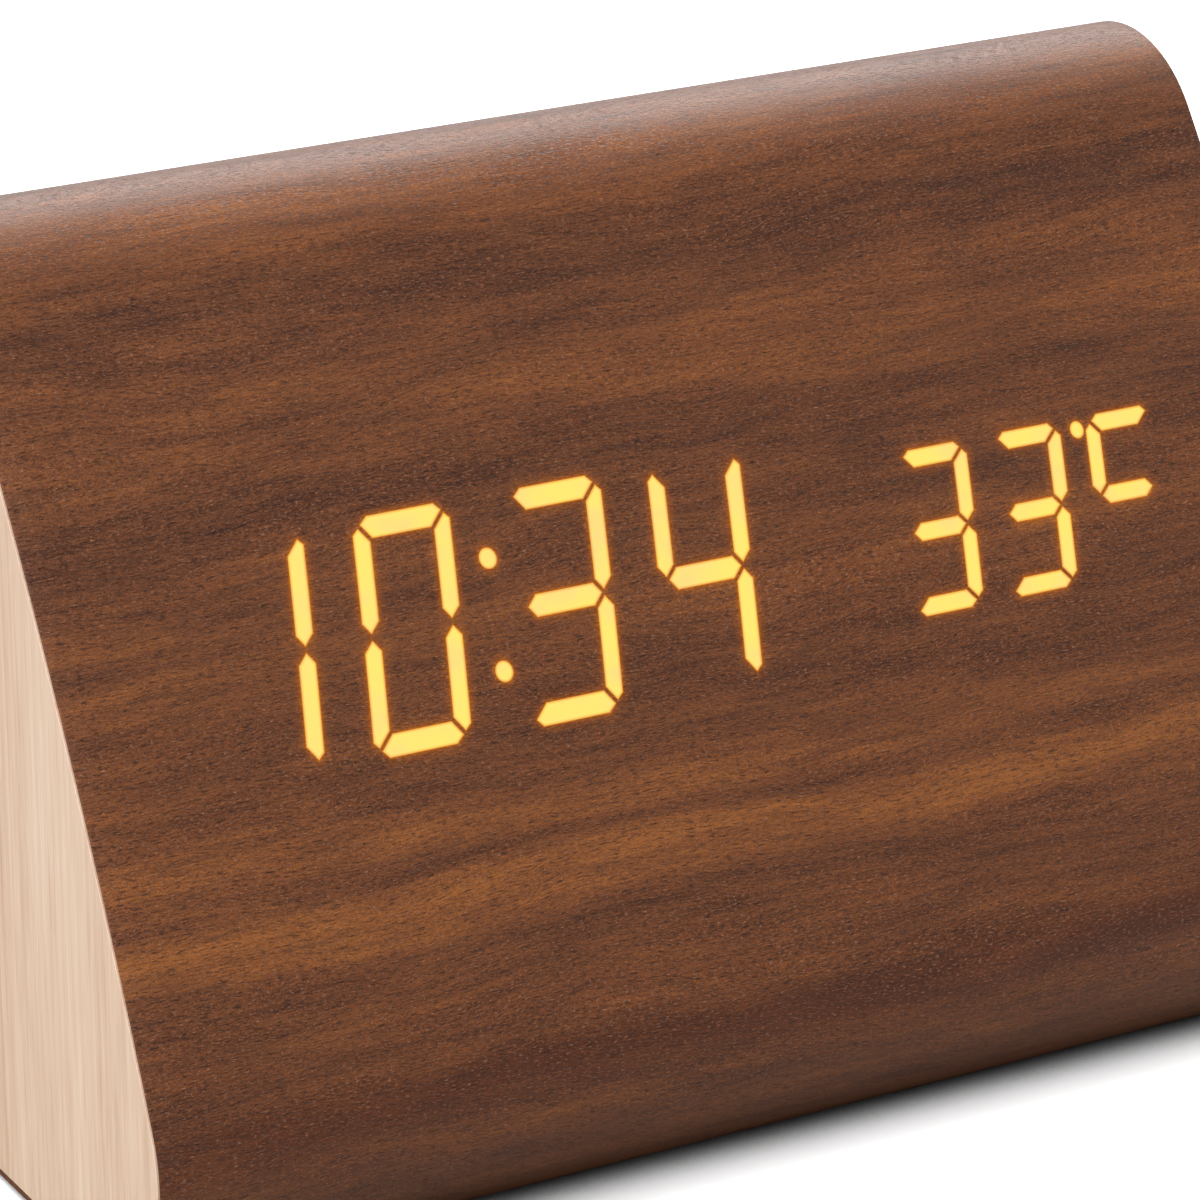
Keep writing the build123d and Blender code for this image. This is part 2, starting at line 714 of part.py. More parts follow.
# Rear cover: plate with the battery bay, screw bosses and openings moulded in
with BuildPart() as rear_cover:
    with BuildSketch(rear_face.offset(cover_back)):
        RectangleRounded(cover_length, cover_height, cover_corner)
    extrude(amount=cover_thickness)
    chamfer(rear_cover.faces().sort_by(Axis(rear_face.origin, rear_face.z_dir))[-1].edges(),
            edge_break)
    with BuildSketch(rear_face.offset(cover_back)):
        with Locations((bay_x, 0)):
            Rectangle(bay_length + 2 * bay_wall, bay_height + 2 * bay_wall)
        with Locations(*board_screw_places):
            Circle(boss_diameter / 2)
    extrude(amount=-board_stand_off)
    with BuildSketch(rear_face.offset(main_board_face)):
        with Locations((bay_x, 0)):
            Rectangle(bay_length + 2 * bay_wall, bay_height + 2 * bay_wall)
    extrude(amount=bay_back - main_board_face)
    with BuildSketch(rear_face.offset(bay_floor)):
        with Locations((bay_x, 0)):
            Rectangle(bay_length, bay_height)
    extrude(amount=-bay_floor + over, mode=Mode.SUBTRACT)
    with BuildSketch(rear_face.offset(-door_thickness - latch_clearance)):
        with Locations((bay_x, bay_height / 2)):
            Rectangle(latch_width + 2 * latch_clearance, 2 * (latch_reach + latch_clearance))
    extrude(amount=door_thickness + latch_clearance + over, mode=Mode.SUBTRACT)
    with BuildSketch(rear_face.offset(-finger_scoop_depth)):
        with Locations((bay_x, bay_height / 2 + finger_scoop_reach - finger_scoop_radius)):
            Circle(finger_scoop_radius)
    extrude(amount=finger_scoop_depth + over, mode=Mode.SUBTRACT)
    with BuildSketch(rear_face.offset(cover_back - over)):
        with Locations(*[(button_x, level) for level in button_levels]):
            Circle(button_diameter / 2 + button_clearance)
        with Locations((button_x, socket_level)):
            Circle(socket_collar_diameter / 2 + socket_hole_clearance)
        with Locations((sensor_x, microphone_level)):
            Circle(microphone_port / 2)
        with Locations((sensor_x, thermistor_level)):
            with GridLocations(0, vent_pitch, 1, vent_count):
                SlotOverall(vent_length, vent_width)
    extrude(amount=cover_thickness + 2 * over, mode=Mode.SUBTRACT)
    with BuildSketch(rear_face.offset(main_board_face)):
        with Locations(*board_screw_places):
            Circle(screw_diameter / 2 + fit)
    extrude(amount=board_stand_off, mode=Mode.SUBTRACT)
    with BuildSketch(rear_face):
        with Locations(*cover_screw_places):
            Circle(screw_head_diameter / 2 + hole_clearance)
    extrude(amount=-screw_head_height, taper=head_slope, mode=Mode.SUBTRACT)
    with BuildSketch(rear_face):
        with Locations(*cover_screw_places):
            Circle(screw_diameter / 2 + hole_clearance)
    extrude(amount=-cover_thickness, mode=Mode.SUBTRACT)
    with BuildSketch(Plane.YZ.offset(-bay_x)):
        with Locations((hinge_point.Y, hinge_point.Z)):
            Circle(hinge_pin_diameter / 2 + hinge_pin_clearance)
    extrude(amount=bay_length / 2 + hinge_pin_length + hinge_pin_clearance, both=True,
            mode=Mode.SUBTRACT)
    for wall in (-1, 1):
        lead_hole = rear_face.from_local_coords((bay_x, -wall * cell_pitch, cell_level))
        with BuildSketch(Plane(origin=lead_hole, z_dir=wall * rear_face.x_dir)):
            Circle(lead_diameter / 2 + fit)
        extrude(amount=bay_length / 2 + bay_wall + over, mode=Mode.SUBTRACT)
rear_cover.part.label = "rear_cover"
export_step(rear_cover.part, "parts/rear_cover.step")

# Cover screws: countersunk flush with the plate, into the ledge of the core
cover_screws = screw(rear_face, cover_screw_places, 0, cover_screw_length, countersunk=True)
cover_screws.part.label = "cover_screws"
export_step(cover_screws.part, "parts/cover_screws.step")

# Battery door: plate with a rounded hinge edge, two pivot pins and a sprung latch tongue
door_length = bay_length - 2 * door_clearance
door_top = bay_height / 2 - door_clearance
with BuildPart() as battery_door:
    with BuildSketch(rear_face.offset(-door_thickness)):
        with Locations((bay_x, (hinge_y + door_top) / 2)):
            Rectangle(door_length, door_top - hinge_y)
        with Locations((bay_x, door_top)):
            Rectangle(latch_width, 2 * (latch_reach + door_clearance))
        with Locations(*[(bay_x + side * (latch_width + latch_slot) / 2, door_top)
                         for side in (-1, 1)]):
            Rectangle(latch_slot, 2 * latch_slot_length, mode=Mode.SUBTRACT)
    extrude(amount=door_thickness)
    with BuildSketch(Plane.YZ.offset(-bay_x)):
        with Locations((hinge_point.Y, hinge_point.Z)):
            Circle(hinge_radius)
    extrude(amount=door_length / 2, both=True)
    with BuildSketch(Plane.YZ.offset(-bay_x)):
        with Locations((hinge_point.Y, hinge_point.Z)):
            Circle(hinge_pin_diameter / 2)
    extrude(amount=bay_length / 2 + hinge_pin_length, both=True)
    with BuildSketch(rear_face):
        with Locations((bay_x, door_top - grip_rib_count * grip_rib_pitch / 2)):
            with GridLocations(0, grip_rib_pitch, 1, grip_rib_count):
                SlotOverall(grip_rib_length, grip_rib_width)
    extrude(amount=grip_rib_height)
battery_door.part.label = "battery_door"
export_step(battery_door.part, "parts/battery_door.step")

# Battery cells: alternate cells point the other way, with their nubs on the flat contacts
cell_levels = [(place - (cell_count - 1) / 2) * cell_pitch for place in range(cell_count)]
for place, cell_y in enumerate(cell_levels):
    toward = 1 if place % 2 == 0 else -1
    nub_tip = bay_x + toward * (bay_length / 2 - contact_sheet)
    cell_plane = Plane(origin=rear_face.from_local_coords((nub_tip, cell_y, cell_level)),
                       x_dir=rear_face.z_dir, z_dir=-toward * rear_face.x_dir)
    with BuildPart() as battery_cell:
        with BuildSketch(cell_plane.offset(nub_height)):
            Circle(cell_diameter / 2)
        extrude(amount=cell_length - nub_height)
        chamfer(battery_cell.edges().filter_by(GeomType.CIRCLE), cell_edge)
        with BuildSketch(cell_plane):
            Circle(nub_diameter / 2)
        extrude(amount=nub_height)
    battery_cell.part.label = f"battery_cell_{place + 1}"
    export_step(battery_cell.part, f"parts/battery_cell_{place + 1}.step")

# Battery contacts: stamped sheets on the end walls of the bay, two joined in pairs
with BuildPart() as battery_contacts:
    with BuildSketch(rear_face.offset(cell_level)):
        for wall in (-1, 1):
            wall_x = bay_x + wall * (bay_length - contact_sheet) / 2
            with Locations((wall_x, wall * cell_pitch / 2)):
                Rectangle(contact_sheet, cell_pitch + contact_width)
            with Locations((wall_x, -wall * cell_pitch)):
                Rectangle(contact_sheet, contact_width)
    extrude(amount=contact_height / 2, both=True)
battery_contacts.part.label = "battery_contacts"
export_step(battery_contacts.part, "parts/battery_contacts.step")


def cone_coil(seat, base_radius, tip_radius, rise, turns):
    """Points and directions of a coil that narrows as it climbs, two for each turn."""
    steps = 2 * turns
    narrowing = (tip_radius - base_radius) / (steps * pi)
    climb = rise / (steps * pi)
    stations = []
    for step in range(steps + 1):
        across = cos(pi * step)
        radius = base_radius + (tip_radius - base_radius) * step / steps
        point = seat.from_local_coords(Vector(radius * across, 0, rise * step / steps))
        way = seat.from_local_coords(Vector(narrowing * across, radius * across, climb))
        stations.append((point, (way - seat.origin).normalized()))
    return stations


# Battery springs: cone coils between the contacts and the flat ends of the cells, each half
# turn drawn as two arcs that meet smoothly
spring_rise = spring_room - spring_wire - 2 * fit
with BuildPart() as battery_springs:
    for place, cell_y in enumerate(cell_levels):
        toward = 1 if place % 2 == 0 else -1
        base = bay_x - toward * (bay_length / 2 - contact_sheet - spring_wire / 2 - fit)
        seat = Plane(origin=rear_face.from_local_coords((base, cell_y, cell_level)),
                     x_dir=rear_face.z_dir, z_dir=toward * rear_face.x_dir)
        stations = cone_coil(seat, (spring_base_diameter - spring_wire) / 2,
                             (spring_tip_diameter - spring_wire) / 2, spring_rise, spring_turns)
        with BuildLine() as coil_line:
            for (start, leaving), (end, arriving) in pairwise(stations):
                chord = end - start
                along = chord.dot(leaving + arriving)
                turning = 2 * (1 - leaving.dot(arriving))
                reach = (sqrt(along ** 2 + turning * chord.dot(chord)) - along) / turning
                middle = (start + end + (leaving - arriving) * reach) / 2
                TangentArc(start, middle, tangent=leaving)
                crossing = chord - (leaving + arriving) * reach
                TangentArc(middle, end, tangent=crossing.normalized())
        coil = coil_line.wire()
        with BuildSketch(Plane(origin=stations[0][0], z_dir=stations[0][1])):
            RegularPolygon(spring_wire / 2, spring_wire_sides)
        sweep(path=coil)
battery_springs.part.label = "battery_springs"
export_step(battery_springs.part, "parts/battery_springs.step")

# Battery leads: the short one to the board's near edge, the long one under the bay
lead_x = (bay_length / 2 + bay_wall + lead_off_wall)
lead_under = bay_back - lead_diameter
lead_routes = (
    ([(bay_x + bay_length / 2, -cell_pitch, cell_level), (bay_x + lead_x, -cell_pitch, cell_level),
      (bay_x + lead_x, -cell_pitch, main_board_face)], lead_short_bend),
    ([(bay_x - bay_length / 2, cell_pitch, cell_level), (bay_x - lead_x, cell_pitch, cell_level),
      (bay_x - lead_x, cell_pitch, lead_under), (bay_x + lead_x, cell_pitch, lead_under),
      (bay_x + lead_x, cell_pitch, main_board_back)], lead_bend))
with BuildPart() as battery_leads:
    for points, bend in lead_routes:
        with BuildLine():
            lead = FilletPolyline(*[rear_face.from_local_coords(point) for point in points],
                                  radius=bend)
        with BuildSketch(Plane(origin=lead @ 0, z_dir=lead % 0)):
            RegularPolygon(lead_diameter / 2, lead_sides)
        sweep(path=lead)
battery_leads.part.label = "battery_leads"
export_step(battery_leads.part, "parts/battery_leads.step")

# Main board on the bosses of the cover, and its two screws
with BuildPart() as main_board:
    with BuildSketch(rear_face.offset(main_board_face)):
        with Locations((main_board_x, 0)):
            RectangleRounded(main_board_length, main_board_height, board_corner)
        with Locations(*board_screw_places):
            Circle(screw_diameter / 2 + hole_clearance, mode=Mode.SUBTRACT)
    extrude(amount=-board_thickness)
main_board.part.label = "main_board"
export_step(main_board.part, "parts/main_board.step")

board_screws = screw(board_inside, [(-x, y) for x, y in board_screw_places], -main_board_back,
                     board_screw_length, countersunk=False)
board_screws.part.label = "board_screws"
export_step(board_screws.part, "parts/board_screws.step")

# Tact switches with guided plungers, and the push buttons over them
button_places = [(button_x, level) for level in button_levels]
with BuildPart() as tact_switches:
    with BuildSketch(rear_face.offset(main_board_face)):
        with Locations(*button_places):
            Rectangle(switch_size, switch_size)
    extrude(amount=switch_height)
    chamfer(tact_switches.edges().filter_by(Axis(rear_face.origin, rear_face.z_dir)), switch_edge)
    with BuildSketch(rear_face.offset(switch_top)):
        with Locations(*button_places):
            Circle(plunger_diameter / 2 + fit)
    extrude(amount=-(plunger_guide + button_travel + button_seat_clearance), mode=Mode.SUBTRACT)
tact_switches.part.label = "tact_switches"
export_step(tact_switches.part, "parts/tact_switches.step")

for name, level in zip(("set", "up", "down"), button_levels):
    with BuildPart() as plunger:
        with BuildSketch(rear_face.offset(switch_top - plunger_guide)):
            with Locations((button_x, level)):
                Circle(plunger_diameter / 2)
        extrude(amount=plunger_guide + plunger_proud)
    plunger.part.label = f"{name}_switch_plunger"
    export_step(plunger.part, f"parts/{name}_switch_plunger.step")

    with BuildPart() as button:
        with BuildSketch(rear_face.offset(plunger_top)):
            with Locations((button_x, level)):
                Circle(plunger_diameter / 2)
        extrude(amount=cover_back - button_seat_clearance - plunger_top)
        with BuildSketch(rear_face.offset(cover_back - button_seat_clearance)):
            with Locations((button_x, level)):
                Circle(flange_diameter / 2)
        extrude(amount=-flange_thickness)
        with BuildSketch(rear_face.offset(cover_back - button_seat_clearance)):
            with Locations((button_x, level)):
                Circle(button_diameter / 2)
        extrude(amount=button_proud + cover_thickness + button_seat_clearance)
        chamfer(button.faces().sort_by(Axis(rear_face.origin, rear_face.z_dir))[-1].edges(),
                button_edge)
    button.part.label = f"{name}_button"
    export_step(button.part, f"parts/{name}_button.step")

# Power socket: body on the board, collar in the cover, centre pin in the bore
socket_mouth = -socket_collar_recess
with BuildPart() as power_socket:
    with BuildSketch(rear_face.offset(main_board_face)):
        with Locations((button_x, socket_level)):
            RectangleRounded(socket_size, socket_size, socket_size / 8)
    extrude(amount=cover_back - button_seat_clearance - main_board_face)
    with BuildSketch(rear_face.offset(main_board_face)):
        with Locations((button_x, socket_level)):
            Circle(socket_collar_diameter / 2)
    extrude(amount=socket_mouth - main_board_face)
    with BuildSketch(rear_face.offset(socket_mouth)):
        with Locations((button_x, socket_level)):
            Circle(socket_bore_diameter / 2)
    extrude(amount=-socket_bore_depth, mode=Mode.SUBTRACT)
    with BuildSketch(rear_face.offset(socket_mouth - socket_bore_depth)):
        with Locations((button_x, socket_level)):
            Circle(socket_pin_diameter / 2)
    extrude(amount=socket_bore_depth - socket_pin_recess)
power_socket.part.label = "power_socket"
export_step(power_socket.part, "parts/power_socket.step")

# Microphone capsule and the rubber boot that seals it to the cover
microphone_top = main_board_face + microphone_height
with BuildPart() as microphone:
    with BuildSketch(rear_face.offset(main_board_face)):
        with Locations((sensor_x, microphone_level)):
            Circle(microphone_diameter / 2)
    extrude(amount=microphone_height)
microphone.part.label = "microphone"
export_step(microphone.part, "parts/microphone.step")

with BuildPart() as microphone_boot:
    with BuildSketch(rear_face.offset(microphone_top)):
        with Locations((sensor_x, microphone_level)):
            Circle(microphone_diameter / 2)
            Circle(boot_bore / 2, mode=Mode.SUBTRACT)
    extrude(amount=cover_back - microphone_top)
microphone_boot.part.label = "microphone_boot"
export_step(microphone_boot.part, "parts/microphone_boot.step")

# Thermistor: bead held on two leads behind the vents
bead_level = cover_back - thermistor_recess
with BuildPart() as thermistor:
    with BuildSketch(rear_face.offset(main_board_face)):
        with Locations((sensor_x, thermistor_level)):
            with GridLocations(thermistor_lead_spacing, 0, 2, 1):
                Circle(thermistor_lead / 2)
    extrude(amount=bead_level - main_board_face)
    with BuildSketch(rear_face.offset(bead_level)):
        with Locations((sensor_x, thermistor_level)):
            Circle(thermistor_bead / 2)
    extrude(amount=thermistor_bead / 2, both=True)
    chamfer(thermistor.edges().group_by(SortBy.LENGTH)[-1], thermistor_bead_edge)
thermistor.part.label = "thermistor"
export_step(thermistor.part, "parts/thermistor.step")

# Buzzer, coin cell with its holder, clock chip, crystal and capacitor inside the board
with BuildPart() as buzzer:
    with BuildSketch(board_inside.offset(-main_board_back)):
        with Locations(inside_place(*buzzer_place)):
            Circle(buzzer_diameter / 2)
    extrude(amount=buzzer_height)
    chamfer(buzzer.faces().sort_by(Axis(board_inside.origin, board_inside.z_dir))[-1].edges(),
            edge_break)
    with BuildSketch(board_inside.offset(-main_board_back + buzzer_height)):
        with Locations(inside_place(*buzzer_place)):
            Circle(buzzer_port / 2)
    extrude(amount=-buzzer_height / 2, mode=Mode.SUBTRACT)
buzzer.part.label = "buzzer"
export_step(buzzer.part, "parts/buzzer.step")

coin_floor = -main_board_back + holder_height - coin_thickness - holder_arm_thickness
coin_centre = inside_place(*holder_place)
with BuildPart() as coin_cell_holder:
    with BuildSketch(board_inside.offset(-main_board_back)):
        with Locations(coin_centre):
            Rectangle(holder_length, holder_width)
    extrude(amount=holder_height)
    with BuildSketch(board_inside.offset(coin_floor)):
        with Locations(coin_centre):
            Circle(coin_diameter / 2 + coin_clearance)
    extrude(amount=holder_height, mode=Mode.SUBTRACT)
    with BuildSketch(board_inside.offset(coin_floor + coin_thickness)):
        with Locations(coin_centre):
            Rectangle(holder_arm, holder_width)
    extrude(amount=holder_arm_thickness)
coin_cell_holder.part.label = "coin_cell_holder"
export_step(coin_cell_holder.part, "parts/coin_cell_holder.step")

with BuildPart() as coin_cell:
    with BuildSketch(board_inside.offset(coin_floor)):
        with Locations(coin_centre):
            Circle(coin_diameter / 2)
    extrude(amount=coin_thickness)
coin_cell.part.label = "coin_cell"
export_step(coin_cell.part, "parts/coin_cell.step")

clock_chip = chip(board_inside, -main_board_back, inside_place(*clock_chip_place),
                  (chip_length, chip_width, chip_height), chip_pins)
clock_chip.part.label = "clock_chip"
export_step(clock_chip.part, "parts/clock_chip.step")

with BuildPart() as crystal:
    crystal_x, crystal_y = inside_place(*crystal_place)
    crystal_foot = board_inside.from_local_coords(
        (crystal_x, crystal_y - crystal_length / 2, -main_board_back + crystal_diameter / 2))
    with BuildSketch(Plane(origin=crystal_foot, z_dir=board_inside.y_dir)):
        Circle(crystal_diameter / 2)
    extrude(amount=crystal_length)
crystal.part.label = "crystal"
export_step(crystal.part, "parts/crystal.step")

with BuildPart() as capacitor:
    with BuildSketch(board_inside.offset(-main_board_back)):
        with Locations(inside_place(*capacitor_place)):
            Rectangle(capacitor_diameter, capacitor_diameter)
    extrude(amount=capacitor_base)
    with BuildSketch(board_inside.offset(-main_board_back)):
        with Locations(inside_place(*capacitor_place)):
            Circle(capacitor_diameter / 2)
    extrude(amount=capacitor_height)
capacitor.part.label = "capacitor"
export_step(capacitor.part, "parts/capacitor.step")
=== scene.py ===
import json
from math import asin, ceil, cos, hypot, pi, radians, sin, sqrt, tan
import bpy
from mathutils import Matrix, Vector
from mathutils.geometry import delaunay_2d_cdt


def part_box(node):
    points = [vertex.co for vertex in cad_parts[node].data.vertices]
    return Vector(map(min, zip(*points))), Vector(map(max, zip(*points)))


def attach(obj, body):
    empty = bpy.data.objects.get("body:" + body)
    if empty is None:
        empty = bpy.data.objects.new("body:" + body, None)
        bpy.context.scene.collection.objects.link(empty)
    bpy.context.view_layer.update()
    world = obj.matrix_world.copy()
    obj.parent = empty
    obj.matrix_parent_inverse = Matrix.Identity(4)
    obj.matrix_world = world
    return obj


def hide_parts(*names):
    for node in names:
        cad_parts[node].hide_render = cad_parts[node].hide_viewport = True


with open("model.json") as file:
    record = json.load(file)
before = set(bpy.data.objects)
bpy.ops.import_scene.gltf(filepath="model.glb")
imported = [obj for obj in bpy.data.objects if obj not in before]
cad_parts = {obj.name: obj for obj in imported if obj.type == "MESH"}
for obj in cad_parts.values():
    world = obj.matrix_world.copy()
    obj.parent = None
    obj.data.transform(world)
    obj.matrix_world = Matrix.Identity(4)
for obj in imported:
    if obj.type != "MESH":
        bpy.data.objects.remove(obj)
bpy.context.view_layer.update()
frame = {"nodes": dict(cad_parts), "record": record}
nodes = frame["nodes"]

# Lengths are metres where nothing else is said. X runs along the clock, -Y is the reading side
# and +Z is up.
MM = 0.001

# Section of the case, as the CAD has it
LENGTH = 100 * MM
DEPTH = 75 * MM
CORNER = 10.4 * MM
BOW = 255 * MM
SKIN = 0.5 * MM
PAD = 0.5 * MM
PANEL = 4 * MM
LEAN = radians(30)
PITCH = DEPTH - 2 * CORNER
INNER = PITCH / 2 * tan(LEAN)
MIDDLE = PAD + CORNER + INNER
SIDE = CORNER + INNER
APEX = PAD + CORNER + PITCH * cos(LEAN)
BOW_HALF = asin(PITCH / 2 / (BOW - CORNER))
RISE = BOW - (BOW - CORNER) * cos(BOW_HALF) + INNER - SIDE
REACH = BOW * sin(BOW_HALF)
ARC_REACH = BOW * BOW_HALF

# Rounded corners of the section: centre, and the directions in which the arc begins and ends
FRONT_FOOT = ((-PITCH / 2, PAD + CORNER), 3 * pi / 2, pi - LEAN + BOW_HALF)
TOP = ((0, APEX), pi - LEAN - BOW_HALF, LEAN + BOW_HALF)
REAR_FOOT = ((PITCH / 2, PAD + CORNER), LEAN - BOW_HALF, -pi / 2)

# Rear opening in the skin
OPENING_LENGTH = 84.4 * MM
OPENING_HEIGHT = 42.3 * MM
OPENING_CORNER = 3 * MM

# Mesh steps along the clock, across a side and round an outline, and the pieces of each arc
GRID = 2.5 * MM
ROW = 2 * MM
STEP = 0.9 * MM
CORNER_STEPS = 24
HOLE_STEPS = 8
# Points this near each other are one point
WELD = 0.002 * MM
CUT_LIMIT = 1e-7
# How far the grid stays from a hole, and how far along the clock lit bars are looked for
CLEAR = 0.9 * MM
SEARCH = 12 * MM

# Easing of the skin's ends: distance from the end and how far the surface drops there
EASE = ((0.0, 0.06 * MM), (0.04 * MM, 0.02 * MM), (0.12 * MM, 0.0))
PANEL_EASE = 0.04 * MM

# Camera, from a fit to the photograph
CAMERA_PLACE = (-0.19277, -0.35187, 0.186714)
CAMERA_TURN = radians(29.251)
CAMERA_DIP = radians(21.209)
LENS = 174.456
SENSOR = 36

# Soft lamps: name, place, the point they face, size and power
LAMPS = (
    ("top", (-0.15, -0.45, 1.25), (0, 0, 0.03), (1.2, 1.0), 5.5),
    ("left", (-1.3, -0.45, 0.6), (0, 0, 0.03), (0.8, 1.0), 14.0),
    ("right", (1.4, 0.15, 0.5), (0, 0, 0.03), (0.9, 0.9), 6.5),
    ("front", (-0.6, -1.2, 1.0), (0, 0, 0.03), (0.9, 0.6), 12.0),
    ("back", (0.45, 1.1, 0.75), (0, 0, 0.05), (1.4, 0.7), 19.0))
WORLD_STRENGTH = 0.32
BACKDROP = (0.975, 0.98, 0.985, 1)
FLOOR_HALF = 4.0
FLOOR_SHADE_REACH = 16 * MM
FLOOR_SAMPLES = 24


class Graph:
    """A material's node tree, written call by call."""

    def __init__(self, name):
        self.material = bpy.data.materials.new(name)
        self.material.use_nodes = True
        self.tree = self.material.node_tree
        self.shader = self.tree.nodes["Principled BSDF"]
        self.output = self.tree.nodes["Material Output"]

    def put(self, socket, value):
        if isinstance(value, bpy.types.NodeSocket):
            self.tree.links.new(value, socket)
        else:
            socket.default_value = value

    def node(self, kind, inputs=None, **settings):
        made = self.tree.nodes.new(kind)
        for key, value in settings.items():
            setattr(made, key, value)
        for key, value in (inputs or {}).items():
            self.put(made.inputs[key], value)
        return made

    def set(self, **values):
        """Set or link the shader's sockets, named with _ for each space."""
        for key, value in values.items():
            self.put(self.shader.inputs[key.replace("_", " ")], value)

    def math(self, operation, first, second=0.0, third=0.0, clamp=False):
        made = self.node("ShaderNodeMath", {0: first, 1: second, 2: third}, operation=operation,
                         use_clamp=clamp)
        return made.outputs[0]

    def add_share(self, total, value, share):
        """Total plus a share of a value that lies round one half."""
        return self.math("MULTIPLY_ADD", self.math("SUBTRACT", value, 0.5), share, total)

    def noise(self, vector, scale, stretch=(1, 1, 1), detail=2.0, rough=0.5, shift=(0, 0, 0)):
        """Noise whose cells are one over scale times stretch long."""
        mapped = self.node("ShaderNodeMapping", {
            "Vector": vector, "Location": shift,
            "Scale": [scale * part for part in stretch]}).outputs[0]
        return self.node("ShaderNodeTexNoise", {"Vector": mapped, "Scale": 1.0, "Detail": detail,
                                                "Roughness": rough}).outputs["Fac"]

    def ramp(self, factor, stops, interpolation="LINEAR"):
        """Colour ramp from (place, colour) stops; a plain number is a grey."""
        made = self.node("ShaderNodeValToRGB", {0: factor})
        ramp = made.color_ramp
        ramp.interpolation = interpolation
        while len(ramp.elements) < len(stops):
            ramp.elements.new(1.0)
        for element, (place, tone) in zip(ramp.elements, stops):
            element.position = place
            element.color = tone if isinstance(tone, tuple) else (tone, tone, tone, 1)
        return made.outputs[0]

    def remap(self, value, low, high, to_low=0.0, to_high=1.0):
        return self.node("ShaderNodeMapRange", {0: value, 1: low, 2: high, 3: to_low,
                                                4: to_high}).outputs[0]

    def mix(self, factor, first, second, blend="MIX"):
        made = self.node("ShaderNodeMix", data_type="RGBA", blend_type=blend)
        self.put(made.inputs[0], factor)
        self.put(made.inputs[6], first)
        self.put(made.inputs[7], second)
        return made.outputs[2]

    def stain(self, under, mask, share, tone):
        """Another colour laid over, where the mask is, by a share."""
        return self.mix(self.math("MULTIPLY", mask, share), under, tone)

    def bump(self, height, distance, strength=1.0):
        return self.node("ShaderNodeBump", {"Height": height, "Distance": distance,
                                            "Strength": strength}).outputs[0]

    def place(self):
        return self.node("ShaderNodeTexCoord").outputs["Object"]


def colour(red, green, blue):
    """Linear colour from one given as 0 to 255 display values."""
    return tuple(c / 255 / 12.92 if c / 255 <= 0.04045 else ((c / 255 + 0.055) / 1.055) ** 2.4
                 for c in (red, green, blue)) + (1,)


# Broad bands of the walnut figure, in millimetres and shares: level up the reading side where the
# band crosses the middle, half width, how much lighter or darker it is at the left and right
# ends, and its slope along the clock. The last one is also redder than the rest.
BANDS = (
    (33.5, 3.6, 0.22, 0.14, 0.00), (24.5, 2.8, -0.15, -0.21, 0.01), (18.2, 3.0, 0.06, 0.04, -0.02),
    (15.0, 1.6, 0.00, 0.14, 0.01), (11.0, 2.2, -0.16, -0.12, 0.01), (5.0, 2.4, 0.02, -0.12, 0.00),
    (0.2, 1.4, 0.10, 0.08, 0.01), (-6.5, 4.0, -0.02, -0.14, 0.01), (-12.4, 1.3, 0.22, 0.14, 0.00),
    (-14.9, 0.7, -0.26, -0.16, 0.01), (-17.2, 2.2, 0.40, 0.28, 0.01),
    (-21.0, 1.2, -0.12, -0.12, 0.01), (-26.5, 3.5, -0.06, -0.06, 0.01),
    (-36.0, 3.0, 0.02, 0.02, 0.00), (-30.8, 1.6, -0.20, -0.30, 0.01))
BASE_TONE = 0.50


